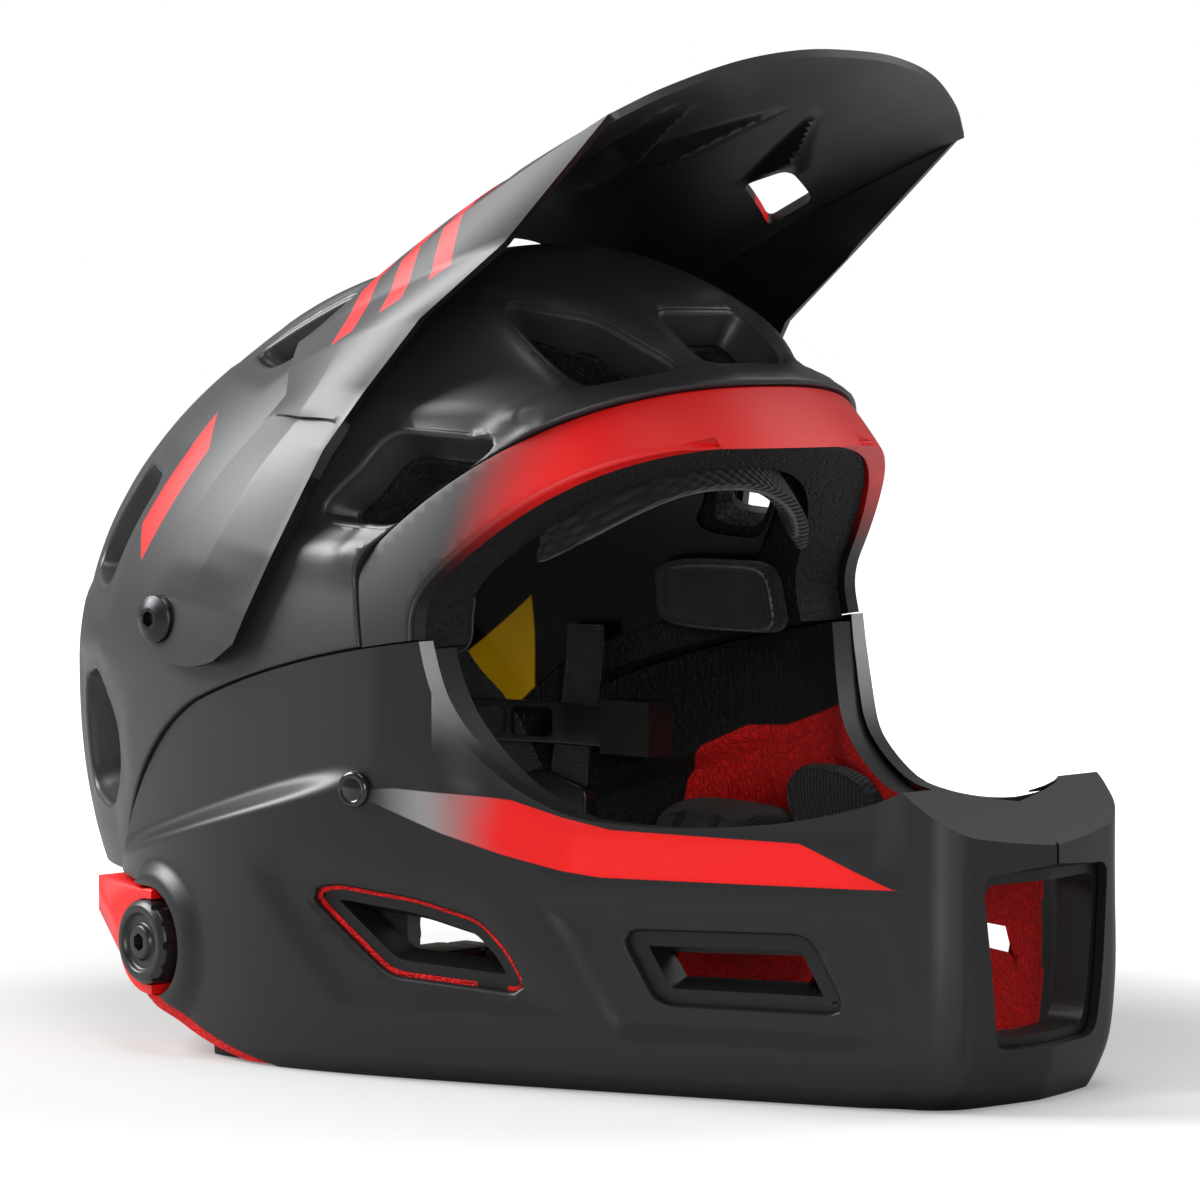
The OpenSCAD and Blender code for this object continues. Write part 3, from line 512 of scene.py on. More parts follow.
class Shader(Nodes):
    """A material under construction, round its Principled surface."""

    def __init__(self, name: str) -> None:
        """Starts the material of a finish's name."""
        self.material = bpy.data.materials.new(name)
        self.material.use_nodes = True
        super().__init__(self.material.node_tree)
        self.surface = next(n for n in self.tree.nodes if n.type == "BSDF_PRINCIPLED")

    def set(self, **inputs: object) -> None:
        """Sets inputs of the surface by name, with _ for a space."""
        for key, value in inputs.items():
            self.put(self.surface.inputs[key.replace("_", " ")], value)

    def place(self) -> Socket:
        """Object coordinates."""
        return self.node("ShaderNodeTexCoord").outputs["Object"]

    def axes(self) -> list[Socket]:
        """X, Y and Z of the object coordinates."""
        split = self.node("ShaderNodeSeparateXYZ", Vector=self.place())
        return [split.outputs[k] for k in "XYZ"]

    def ramp(self, value: object, low: float, high: float, unit_size: float = 1.0) -> Socket:
        """Soft step of a value from 0 at low to 1 at high."""
        settings = {"interpolation_type": "SMOOTHSTEP", "clamp": True}
        ends = {"From_Min": low * unit_size, "From_Max": high * unit_size}
        return self.node("ShaderNodeMapRange", settings, Value=value, **ends).outputs["Result"]

    def past(self, coordinate: object, low: float, high: float) -> Socket:
        """Soft step over a coordinate, from low to high millimetres."""
        return self.ramp(coordinate, low, high, MM)

    def blend(self, share: object, first: object, second: object) -> Socket:
        """Mix of two colours."""
        return self.node("ShaderNodeMix", {"data_type": "RGBA"}, i0=share, i6=first, i7=second).outputs[2]

    def noise(self, size: float, detail: float = 3) -> Socket:
        """Noise whose blotches are about size millimetres across."""
        made = self.node("ShaderNodeTexNoise", Vector=self.place(), Scale=1 / (size * MM), Detail=detail)
        return made.outputs["Fac"]

    def cloudy(self, first: object, second: object, size: float = 22, high: float = 0.7) -> Socket:
        """Two colours in soft blotches about size millimetres across."""
        return self.blend(self.ramp(self.noise(size), 0.3, high), first, second)

    def rough(self, size: float, low: float, high: float) -> None:
        """Gives the surface a roughness that drifts between low and high."""
        made = self.node("ShaderNodeMapRange", Value=self.noise(size), To_Min=low, To_Max=high)
        self.set(Roughness=made.outputs["Result"])

    def bump(self, height: object, depth: float) -> None:
        """Gives the surface a relief from a height of 0 to 1, depth millimetres deep."""
        self.set(Normal=self.node("ShaderNodeBump", Height=height, Distance=depth * MM).outputs["Normal"])

    def line(self, value: object, points: Sequence, low: float, high: float) -> Socket:
        """Height of a line drawn over a coordinate.

        Args:
            value: The coordinate, in metres.
            points: Corners of the line, in millimetres.
            low: Least coordinate, in millimetres.
            high: Greatest coordinate, in millimetres.

        Returns:
            The line's height in metres.
        """
        top = 200.0
        share = self.math("DIVIDE", self.math("SUBTRACT", value, low * MM), (high - low) * MM)
        made = self.node("ShaderNodeFloatCurve", Value=share)
        curve = made.mapping.curves[0]
        spots = [((p[0] - low) / (high - low), p[1] / top) for p in points]
        curve.points[0].location, curve.points[1].location = spots[0], spots[-1]
        for spot in spots[1:-1]:
            curve.points.new(*spot)
        for point in curve.points:
            point.handle_type = "VECTOR"
        made.mapping.update()
        return self.math("MULTIPLY", made.outputs[0], top * MM)


@dataclass(frozen=True)
class Moulded:
    """Moulded plastic with a fine grain, dull to glossy."""

    name: str
    colour: str
    roughness: float
    grain: float
    relief: float = 0.012
    coat: float = 0.0

    def make(self) -> Material:
        """Builds the material.

        Returns:
            The material.
        """
        look = Shader(self.name)
        base = linear(self.colour)
        look.set(Base_Color=look.cloudy(toned(base, 0.86), base), IOR=1.5)
        look.rough(6, self.roughness - 0.04, self.roughness + 0.05)
        if self.coat:
            look.set(Coat_Weight=self.coat, Coat_Roughness=0.12)
        look.bump(look.noise(self.grain, 2), self.relief)
        return look.material


@dataclass(frozen=True)
class BeadFoam:
    """Expanded polystyrene: fused beads of a few millimetres with darker seams."""

    name: str
    colour: str
    seam: str
    bead: float = 3.2

    def make(self, black: Callable[[Shader], Socket] | None = None) -> Material:
        """Builds the material.

        Args:
            black: Gives the share of black beads at each place.

        Returns:
            The material.
        """
        look = Shader(self.name)
        seams = {"feature": "DISTANCE_TO_EDGE"}
        cell = look.node("ShaderNodeTexVoronoi", seams, Vector=look.place(), Scale=1 / (self.bead * MM))
        edge = look.ramp(cell.outputs["Distance"], 0.0, 0.16)
        dark, bright = linear(self.seam), linear(self.colour)
        mottled = look.blend(look.ramp(look.noise(self.bead * 1.3), 0.35, 0.7), dark, bright)
        tint = look.blend(edge, dark, mottled)
        look.set(Base_Color=look.blend(black(look), tint, linear(NEAR_BLACK)) if black else tint)
        look.set(Roughness=0.75, IOR=1.45)
        look.bump(edge, 0.35)
        return look.material


@dataclass(frozen=True)
class Cloth:
    """Knitted or woven cloth whose threads show as a fine relief."""

    name: str
    colour: str
    thread: float
    holes: float = 0.0

    def make(self) -> Material:
        """Builds the material.

        Returns:
            The material.
        """
        look = Shader(self.name)
        x, y, z = look.axes()
        pitch = 0.7 * 2 * math.pi / (self.thread * MM)
        slants = (look.math("ADD", y, z), look.math("SUBTRACT", z, look.math("ADD", x, y)))
        warp, weft = (look.math("SINE", look.math("MULTIPLY", slant, pitch)) for slant in slants)
        weave = look.math("MULTIPLY_ADD", look.math("MULTIPLY", warp, weft), 0.5, 0.5)
        base = linear(self.colour)
        sunken = toned(base, 0.35) if self.holes else base
        threads = look.blend(look.ramp(weave, 0.25, 0.8), sunken, toned(base, 2.6, 0.012))
        look.set(Base_Color=look.cloudy(threads, base, 7, 0.75))
        look.set(Roughness=0.9, Sheen_Weight=0.15, Sheen_Roughness=0.5)
        look.bump(weave, 0.25 + self.holes)
        return look.material


@dataclass(frozen=True)
class Metal:
    """Turned or blackened metal with faint scratches."""

    name: str
    colour: str
    roughness: float

    def make(self) -> Material:
        """Builds the material.

        Returns:
            The material.
        """
        look = Shader(self.name)
        base = linear(self.colour)
        worn = look.ramp(look.noise(1.5), 0.45, 0.8)
        look.set(Metallic=1.0, Base_Color=look.blend(worn, base, toned(base, 1.5)))
        look.rough(0.8, self.roughness - 0.08, self.roughness + 0.1)
        look.bump(look.noise(0.4), 0.01)
        return look.material


def enamel(look: Shader, colour: object, roughness: float = 0.4) -> Material:
    """Matt, finely grained paint of a colour."""
    look.set(Base_Color=colour, Roughness=roughness, IOR=1.5)
    look.bump(look.noise(0.7, 2), 0.012)
    return look.material


def reddened(look: Shader, red: object, colour: str = CHARCOAL) -> Socket:
    """Faintly cloudy colour, with signal red by a share."""
    base = linear(colour)
    return look.blend(red, look.cloudy(toned(base, 0.88), base), linear(SIGNAL_RED))


def flashes(
    look: Shader, angle: float, spots: Sequence, width: float, band: Sequence, slant: float
) -> Socket:
    """Slanted bars drawn over the side view, on both sides of the helmet.

    Args:
        look: The shader under construction.
        angle: Direction of the row of bars in the side view, in degrees.
        spots: Where each bar lies along that direction, in millimetres.
        width: Width of a bar.
        band: Lower and upper end of the bars across that direction.
        slant: How far a bar leans for each millimetre of its height.

    Returns:
        Share of red at each place.
    """
    x, y, z = look.axes()
    c, s = math.cos(math.radians(angle)), math.sin(math.radians(angle))
    along = look.math("ADD", look.math("MULTIPLY", y, c), look.math("MULTIPLY", z, s))
    across = look.math("SUBTRACT", look.math("MULTIPLY", z, c), look.math("MULTIPLY", y, s))
    leant = look.math("ADD", along, look.math("MULTIPLY", across, slant))
    blur = 0.25
    bars = 0.0
    for spot in spots:
        away = look.math("ABSOLUTE", look.math("SUBTRACT", leant, spot * MM))
        bar = look.math("SUBTRACT", 1.0, look.past(away, width / 2 - blur, width / 2 + blur))
        bars = look.math("MAXIMUM", bar, bars)
    for end, sign in ((band[0], 1), (-band[1], -1)):
        inside = look.past(look.math("MULTIPLY", across, sign), end - blur, end + blur)
        bars = look.math("MULTIPLY", bars, inside)
    return look.math("MULTIPLY", bars, look.past(look.math("ABSOLUTE", x), 55, 56))


def shell_paint() -> Material:
    """Charcoal paint with one slanted red flash behind each visor arm."""
    look = Shader("painted_shell_with_flash")
    return enamel(look, reddened(look, flashes(look, 60, (150,), 13, (26, 62), -0.55)))


def visor_paint() -> Material:
    """Charcoal paint with three slanted red flashes on each side."""
    look = Shader("painted_visor_with_flashes")
    return enamel(look, reddened(look, flashes(look, 154, (26, 48, 70), 10, (-212, -186), 0.5)))


def trim_paint() -> Material:
    """Signal red at the front that fades to black down the sides."""
    look = Shader("painted_trim_red_to_black")
    front = look.past(look.math("MULTIPLY", look.axes()[1], -1.0), 80, 112)
    return enamel(look, reddened(look, front, CHARCOAL_DARK_AND_SHADE), 0.45)


def port_edge_highlight() -> Material:
    """Painted highlight on the forward faces of the bar's edge along the port, paler towards its top."""
    look = Shader("port_edge_painted_highlight")
    share = look.past(look.axes()[2], 96, 126)
    return enamel(look, look.blend(share, linear(CHARCOAL_DARK_AND_SHADE), linear(PALE_GREY)))


def slip_paint() -> Material:
    """Vacuum formed polycarbonate sheet, slick: yellow low at the rear of both sides, painted black
    elsewhere, partly as painted shade and partly as the black of pads that cover it.

    Returns:
        The material.
    """
    look = Shader("formed_polycarbonate_yellow_and_black")
    _, y, z = look.axes()
    behind = look.past(y, 39.5, 40.5)
    # The yellow ends at a line that falls to the rear
    slope, top = 0.806, 165.2
    height = look.math("ADD", z, look.math("MULTIPLY", y, slope))
    below = look.math("SUBTRACT", 1.0, look.past(height, top - 0.5, top + 0.5))
    yellow = look.cloudy(linear("#C89C00"), linear("#DDAE00"), 30)
    # Black past the line is partly painted shade over a sheet that is yellow all over
    look.set(Base_Color=look.blend(look.math("MULTIPLY", behind, below), linear(NEAR_BLACK), yellow))
    look.set(Roughness=0.34, IOR=1.45)
    look.bump(look.noise(2.0, 2), 0.01)
    return look.material


class Finishes:
    """Every finish of the helmet, made once."""

    def __init__(self) -> None:
        """Makes the finishes."""
        # Painted polycarbonate skins, dull: soft broad highlights and no mirror
        self.shell = shell_paint()
        self.visor = visor_paint()
        self.trim = trim_paint()
        # Painted highlight on the bar's edge along the port
        self.rim = port_edge_highlight()
        # Injection moulded nylon, black and slightly glossy
        self.black = Moulded("moulded_nylon_black", "#1A1A1B", 0.34, 0.4).make()
        self.gloss = Moulded("moulded_nylon_gloss", "#0B0B0C", 0.16, 0.3, 0.004, 0.4).make()
        # Visor underside, also on its edges as painted shade
        self.underside = Moulded("visor_underside_with_painted_edge_shade", "#0C0C0D", 0.36, 0.6).make()
        # Inner walls of the openings, painted near black as shade
        self.painted_shade = Moulded("opening_walls_painted_shade", "#050505", 0.5, 0.8).make()
        self.red = Moulded("moulded_nylon_red", SIGNAL_RED, 0.38, 0.5).make()
        self.rubber = Moulded("moulded_rubber_black", "#0E0E0E", 0.62, 1.2, 0.03).make()
        # Slip liner: yellow, and painted black as shade elsewhere
        self.yellow = slip_paint()
        self.foam = BeadFoam("polystyrene_beads_black", "#0C0C0D", NEAR_BLACK).make()
        self.foam_red = BeadFoam("polystyrene_beads_red", "#F51212", "#DC0F0F", 2.8).make()
        self.cloth = Cloth("brushed_knit_black", "#050506", 1.2).make()
        self.cord = Cloth("piping_grey", "#4A4A4C", 1.0).make()
        self.mesh = Cloth("air_mesh_black", "#0A0A0A", 3.4, 0.5).make()
        self.webbing = Cloth("woven_nylon_webbing", "#131314", 1.8).make()
        self.brass = Metal("turned_brass", "#B08D4A", 0.3).make()
        self.screw = Metal("blackened_steel", "#3A3A3C", 0.38).make()


def dress(piece: Piece, *materials: Material) -> None:
    """Gives a piece its materials, in slot order."""
    piece.data.materials.clear()
    for material in materials:
        piece.data.materials.append(material)


def settle(piece: Piece, body: str, slot: str, *nodes: str, pad: float | None = None) -> None:
    """Hands a finished piece to the frame.

    Args:
        piece: The piece.
        body: The body that it rides on.
        slot: The record's material slot; not used.
        nodes: The CAD nodes that it stands for.
        pad: How full a padded piece is; not used.
    """
    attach(piece, body)
    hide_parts(*nodes)
    log.info("%s rides on %s: %d faces", piece.name, body, len(piece.data.polygons))


def finish(piece: Piece, looks: Sequence, body: str, slot: str, *nodes: str, angle: float = 32) -> None:
    """Shades and dresses a piece, and hands it to the frame.

    Args:
        piece: The piece.
        looks: Its materials, in slot order.
        body: The body that it rides on.
        slot: The record's material slot.
        nodes: The CAD nodes that it stands for.
        angle: Edges sharper than this stay sharp, in degrees.
    """
    shade(piece, angle)
    dress(piece, *looks)
    settle(piece, body, slot, *nodes)

# The helmet's form


@dataclass(frozen=True)
class ShellForm:
    """The rounded form that the shell, foam and liner share, and lines drawn on it."""

    half_w: float = 107
    front: float = 124
    rear: float = 184
    crown: float = 134
    skirt: float = 151
    belt_z: float = 115
    belt_y: float = -39
    plan_p: float = 2.3
    crown_p: float = 1.87
    skirt_p: float = 2.4

    def spans(self, up: Array, back: Array, d: float | Array = 0) -> tuple[Array, Array, Array]:
        """Power, rise and reach for places above or below the belt, behind or ahead of its middle."""
        power = np.where(up > 0, self.crown_p, self.skirt_p)
        rise = np.where(up > 0, self.crown, self.skirt) + d
        return power, rise, np.where(back > 0, self.rear, self.front) + d

    def point(self, bearing: Array, lift: Array, d: float | Array = 0) -> Array:
        """Point d outside the form at a bearing and a height angle, in degrees."""
        b, a = np.radians(bearing), np.radians(lift)
        power, rise, reach = self.spans(a, np.sin(b), d)
        flat = np.maximum(np.cos(a), 0) ** (2 / power)
        x = (self.half_w + d) * flat * signed_pow(np.cos(b), 2 / self.plan_p)
        y = self.belt_y + reach * flat * signed_pow(np.sin(b), 2 / self.plan_p)
        z = self.belt_z + rise * signed_pow(np.sin(a), 2 / power)
        return np.stack(np.broadcast_arrays(x, y, z), axis=-1)

    def angles(self, points: Array) -> Array:
        """Bearing and height angle of points, all taken as on the right, in degrees."""
        x, y, z = points[..., 0], points[..., 1] - self.belt_y, points[..., 2] - self.belt_z
        power, rise, reach = self.spans(z, y)
        lift = np.degrees(np.arcsin(np.clip(signed_pow(z / rise, power / 2), -1, 1)))
        half = self.plan_p / 2
        bearing = np.degrees(np.arctan2(signed_pow(y / reach, half), -np.abs(x / self.half_w) ** half))
        return np.stack([bearing % 360, lift], axis=-1)

    def x(self, y: Array, z: Array, d: float = 0) -> Array:
        """Half width of the form at a place in the side view."""
        power, rise, reach = self.spans(z - self.belt_z, y - self.belt_y, d)
        level = np.maximum(0, 1 - (np.abs(z - self.belt_z) / rise) ** power) ** (self.plan_p / power)
        rest = np.maximum(0, level - (np.abs(y - self.belt_y) / reach) ** self.plan_p)
        return (self.half_w + d) * rest ** (1 / self.plan_p)

    def z(self, x: Array, y: Array, d: float = 0) -> Array:
        """Height of the crown over a place in the plan."""
        power, rise, reach = self.spans(1, y - self.belt_y, d)
        plan = np.abs(x / (self.half_w + d)) ** self.plan_p + np.abs((y - self.belt_y) / reach) ** self.plan_p
        return self.belt_z + rise * np.maximum(0, 1 - plan ** (power / self.plan_p)) ** (1 / power)

    def normal(self, points: Array) -> Array:
        """Directions out of the form at points."""
        x, y, z = points[..., 0], points[..., 1] - self.belt_y, points[..., 2] - self.belt_z
        power, rise, reach = self.spans(z, y)
        p = self.plan_p
        u = np.abs(x / self.half_w) ** p + np.abs(y / reach) ** p + 1e-9
        k = power / p * u ** (power / p - 1) * p
        gx = k * np.sign(x) * np.abs(x / self.half_w) ** (p - 1) / self.half_w
        gy = k * np.sign(y) * np.abs(y / reach) ** (p - 1) / reach
        gz = power * np.sign(z) * np.abs(z / rise) ** (power - 1) / rise
        return unit(np.stack([gx, gy, gz], axis=-1))

    def side_path(self, line: Array, count: int, d: float = 0) -> Array:
        """Side view line laid on the form, right side first, then over the middle to the left.

        Args:
            line: Points (y, z), the last one at or past the middle plane.
            count: Number of points.
            d: Distance outside the form.

        Returns:
            The path.
        """
        fine = resample(line, 600)
        x = self.x(fine[:, 0], fine[:, 1], d)
        fine, x = fine[x > 0.3], x[x > 0.3]
        right = np.column_stack([-x, fine])
        left = right[::-1] * [-1, 1, 1]
        return resample(np.vstack([right, left]), count)


FORM = ShellForm()

# Gaps between layers and along edges, as the solids of the frame have them too
LAYER = 0.3
LINE = 0.7
# Half of the room that cutters fill, and a reach past every piece
ROOM = 150
BEYOND = 300.0

LINE_REAR, LINE_KNEE, LINE_FRONT = (70, 50), (18, 108.5), (-78, 131)
JOINT_LINE = np.vstack([
    bezier(LINE_REAR, (62, 72), (44, 97), LINE_KNEE),
    bezier(LINE_KNEE, (-8, 118), (-40, 126), LINE_FRONT)[1:],
])
SEAM_LINE = eased((-58.5, 126), bezier((-52, 152), (-66, 169), (-98, 196), (-127, 205.5), 24), 6)
PORT_LINE = eased((-77, 128), bezier((-75, 143), (-88, 157), (-108, 180), (-131, 186.5), 24), 8)
FRONT_VENT = ((252, 59), (288, 59), (282, 48), (258, 48))
SIDE_VENTS = (
    ((198, 61), (230, 57), (250, 47), (224, 44)),
    ((177, 24), (183, 37), (207, 35.5), (190, 23)),
    ((143, 29), (127, 31), (124, 15), (140, 12)),
    ((140, 0), (147, -4), (147, -9), (142, -14), (130, -12), (130, -1)),
    ((158, 60), (135, 64), (128, 50), (152, 47)),
    ((117, 50), (98, 52), (98, 34), (113, 33)),
)
# How deep the shell dishes in round each vent, the front one first, and how far for a vent's size
DISH_DEPTHS = (1.6, 1.8, 2.6, 1.6, 1.4, 1.6, 1.6)
DISH_REACHES = (1.5, 1.5, 1.62, 1.7, 1.6, 1.6, 1.6)


def ellipsoid_grid(d: float, cols: int, rows: int) -> Array:
    """Grid over the form from its lower rim to the crown.

    Args:
        d: Distance outside the form.
        cols: Spans round it.
        rows: Spans up it.

    Returns:
        Points as (rows, columns, 3), the last column being the first again.
    """
    low = -38
    bearing = np.linspace(0, 360, cols + 1)
    lift = low + (90 - low) * np.linspace(0, 1, rows + 1)
    return FORM.point(bearing[None, :], lift[:, None], d)


def solid_form(name: str, d: float, cols: int = 96, rows: int = 40) -> Piece:
    """The form as a plain solid, d larger all round."""
    return loft(name, ellipsoid_grid(d, cols, rows))


def below_joint(dz: float) -> Piece:
    """Cutter for all that lies below the joint line, moved up by dz."""
    ends = [(-BEYOND, LINE_FRONT[1] + dz), (-BEYOND, -BEYOND), (BEYOND, -BEYOND)]
    return prism("below_joint", np.vstack([[(BEYOND, LINE_REAR[1] + dz)], JOINT_LINE + [0, dz], ends]))


def ahead_of(line: Array, dy: float = 0) -> Piece:
    """Cutter for all that lies ahead of a port edge, moved back by dy."""
    moved = line + [dy, 0]
    return prism("ahead_of", np.vstack([moved, [(-BEYOND, moved[-1][1]), (-BEYOND, 0), (moved[0][0], 0)]]))


def shell_relief(points: Array) -> Array:
    """How far the sculpted shell stands off its plain form.

    Args:
        points: Places on the form.

    Returns:
        Offset at each place, outwards positive.
    """
    spot = FORM.angles(points)
    across, y, z = np.abs(points[..., 0]), points[..., 1], points[..., 2]
    offset = np.zeros(points.shape[:-1])
    # Shallow dish round each vent
    for vent, deep, reach in zip((FRONT_VENT,) + SIDE_VENTS, DISH_DEPTHS, DISH_REACHES):
        offset -= deep * (1 - smooth(gauge(spot, vent), 1.05, reach))
    # Raised rim that follows the seam over the brow and down the side
    rim = resample(SEAM_LINE, 60)
    away = np.min(np.hypot(y[..., None] - rim[:, 0], z[..., None] - rim[:, 1]), axis=-1)
    offset += 1.8 * (1 - smooth(away, 8, 11.5)) * smooth(z, 146, 158)
    # Ridge from the rim's corner back under the visor's arm
    ridge_z = 152 + (-52 - y) * -0.10
    offset += 0.9 * np.exp(-(((z - ridge_z) / 5) ** 2)) * smooth(-y, 2, 30) * (across > 60)
    # Flat end, so that the tail keeps within the solid's length
    offset -= 0.35 * smooth(y, 128, 143)
    # Broad fins over the crown, on both sides of the middle
    offset += 1.5 * np.exp(-(((across - 27) / 9) ** 2)) * smooth(z, 205, 232) * smooth(y, -70, -30)
    return offset


def vent_loop(corners: Sequence, share: float, side: Side) -> Array:
    """Rounded outline of a vent on the form, as bearings and height angles.

    Args:
        corners: Corners as (bearing, height angle) on the right.
        share: Size of the outline, 1 being the hole in the shell.
        side: Which side it is on.

    Returns:
        Points of the loop.
    """
    radius = 3.2
    pts = np.asarray(corners, float)
    centre = pts.mean(axis=0)
    squeeze = np.array([math.cos(math.radians(centre[1])), 1.0])
    loop = rounded((centre + share * (pts - centre)) * squeeze, radius, 7, True)
    loop = resample(loop, 64, True) / squeeze
    return loop if side is Side.RIGHT else loop * [-1, 1] + [180, 0]


def vent_plug(corners: Sequence, side: Side, steps: Sequence, relief: bool = True) -> Piece:
    """Solid that fills a vent, its sides following steps of depth.

    Args:
        corners: Corners of the vent.
        side: Which side it is on.
        steps: (share, outwards, sideways) for each ring, from outside to inside.
        relief: True measures from the sculpted shell.

    Returns:
        The solid.
    """
    rings = []
    for share, out, away in steps:
        loop = vent_loop(corners, share, side)
        base = FORM.point(loop[:, 0], loop[:, 1])
        normal = FORM.normal(base)
        lift = shell_relief(base) if relief else 0
        along = unit(np.roll(base, -1, axis=0) - np.roll(base, 1, axis=0))
        across = unit(np.cross(along, normal))
        if np.mean(np.sum(across * (base - base.mean(axis=0)), axis=1)) < 0:
            across = -across
        rings.append(base + normal * (np.broadcast_to(lift, len(base))[:, None] + out) + across * away)
    return ring_loft("vent_plug", np.array(rings))


def all_vents(steps: Sequence, relief: bool = True) -> Piece:
    """The plugs of every vent as one object."""
    plugs = [vent_plug(FRONT_VENT, Side.RIGHT, steps, relief)]
    for corners in SIDE_VENTS:
        plugs += [vent_plug(corners, side, steps, relief) for side in Side]
    return joined("all_vents", plugs)


def lip_steps(radius: float, deep: Sequence) -> list:
    """Steps of a vent plug with a rounded lip, from outside to inside.

    Args:
        radius: Radius of the lip.
        deep: Further (share, outwards, sideways) steps.

    Returns:
        The steps.
    """
    arc = [(1, -radius + radius * math.cos(t), radius - radius * math.sin(t)) for t in quarter(6)]
    return [(1, 9, radius + 1.5), (1, 0.4, radius + 0.4)] + arc + list(deep)


@dataclass
class Shell:
    """The hard outer shell with its vents, lips and sculpted lines."""

    wall: float = 2.6
    cols: int = 300
    rows: int = 100
    lip: float = 1.7

    def build(self, looks: Finishes) -> None:
        """Builds and dresses the shell.

        Args:
            looks: The finishes.
        """
        grid = self.lifted(ellipsoid_grid(0, self.cols, self.rows))
        grid[-1] = grid[-1].mean(axis=0)
        shell = loft("shell", grid)
        # The hollow, with a sleeve left round each vent
        hollow = solid_form("hollow", -self.wall)
        combine(hollow, all_vents([(1, 12, 6.5), (1, -3, 3.5), (0.93, -9, 1.2), (0.9, -11, 0.6)]))
        combine(shell, hollow)
        combine(shell, all_vents(lip_steps(self.lip, [(0.98, -4, 0), (0.9, -9, -0.4), (0.86, -40, -2)])))
        combine(shell, below_joint(0))
        combine(shell, ahead_of(SEAM_LINE))
        seam = FORM.side_path(SEAM_LINE, 300)
        soften(shell, self.lifted(seam), FORM.normal(seam), 1.1, (0, -1, -0.6))
        for side in Side:
            x = FORM.x(JOINT_LINE[:, 0], JOINT_LINE[:, 1])
            path = resample(np.column_stack([x * side.value, JOINT_LINE]), 120)
            soften(shell, self.lifted(path), FORM.normal(path), 0.9, (0, -0.3, -1))
            combine(shell, pivot_bore(side))
        finish(shell, [looks.shell], "helmet", "shell", "outer_shell")

    def lifted(self, points: Array) -> Array:
        """Points on the form raised onto the sculpted shell."""
        return points + FORM.normal(points) * shell_relief(points)[..., None]


@dataclass(frozen=True)
class Axis:
    """A line that round pieces are turned about."""

    origin: tuple[float, float, float]
    out: tuple[float, float, float]
    start: tuple[float, float, float] = (0, 0, -1)

    def place(self, points: Array) -> Array:
        """Points as (along start, across it, out along the axis), moved to the helmet's frame."""
        out, start = np.array(self.out, float), np.array(self.start, float)
        across = np.cross(out, start)
        moved = points[..., :1] * start + points[..., 1:2] * across + points[..., 2:] * out
        return np.array(self.origin) + moved

    def ring(self, radius: float, height: float, count: int = 48, rear: float = 0) -> Array:
        """Circle about the axis, moved to the rear if asked."""
        turn = np.linspace(0, 2 * math.pi, count, endpoint=False)
        spots = np.column_stack([radius * np.cos(turn), radius * np.sin(turn), np.full(count, height)])
        return self.place(spots) + [0, rear, 0]

    def turned(self, name: str, profile: Sequence, count: int = 72) -> Piece:
        """Solid turned about the axis.

        Args:
            name: Name of the solid.
            profile: (radius, height) points that start and end on the axis, or close on themselves.
            count: Faces round it.

        Returns:
            The solid.
        """
        line = np.asarray(profile, float)
        turn = np.linspace(0, 2 * math.pi, count + 1)
        radius, height = line[:, :1], line[:, 1:]
        spots = np.broadcast_arrays(radius * np.cos(turn), radius * np.sin(turn), height)
        grid = np.stack(spots, axis=-1)
        grid[:, -1] = grid[:, 0]
        return loft(name, self.place(grid))

    def rod(self, name: str, low: float, high: float, radius: float, count: int = 64) -> Piece:
        """Cylinder on the axis between two heights."""
        return self.turned(name, [(0, low), (radius, low), (radius, high), (0, high)], count)

    def beside(self, away: float, angle: float) -> Axis:
        """Parallel axis at a distance and an angle in degrees round this one."""
        turn = math.radians(angle)
        spot = self.place(np.array([away * math.cos(turn), away * math.sin(turn), 0.0]))
        return Axis(tuple(spot), self.out, self.start)


def pivot_axis(side: Side) -> Axis:
    """The visor's pivot on one side, measured out from the middle plane."""
    return Axis((0, *PIVOT), (side.value, 0, 0))


def dial_axis(side: Side) -> Axis:
    """A release dial's axis, measured out from the chin bar's face."""
    x = float(ChinBar().side_x(DIAL[0]))
    return Axis((x * side.value, *DIAL), (math.cos(DIAL_YAW) * side.value, math.sin(DIAL_YAW), 0))


def pivot_bore(side: Side) -> Piece:
    """Cutter along the visor's pivot on one side, wide enough for the insert."""
    return pivot_axis(side).rod("pivot_bore", 60, 140, 9.7)


def hulled(name: str, points: Array) -> Piece:
    """Convex solid round points."""
    piece = loft(name, np.stack([points, points]), True)

    def wrap() -> None:
        """Wraps the points and turns the faces outwards, in edit mode."""
        bpy.ops.mesh.convex_hull()
        bpy.ops.mesh.select_all(action="SELECT")
        bpy.ops.mesh.normals_make_consistent(inside=False)

    edit(piece, wrap)
    return piece


def dial_room(side: Side, low: float) -> Piece:
    """Cutter for the room of a release dial and its collar, drawn out to the rear for the slide."""
    axis = dial_axis(side)
    radius, high, rear = COLLAR_R + 0.6, 40, 80
    rings = [axis.ring(radius, h, 64, back) for h in (low, high) for back in (0, rear)]
    return hulled("dial_room", np.vstack(rings))


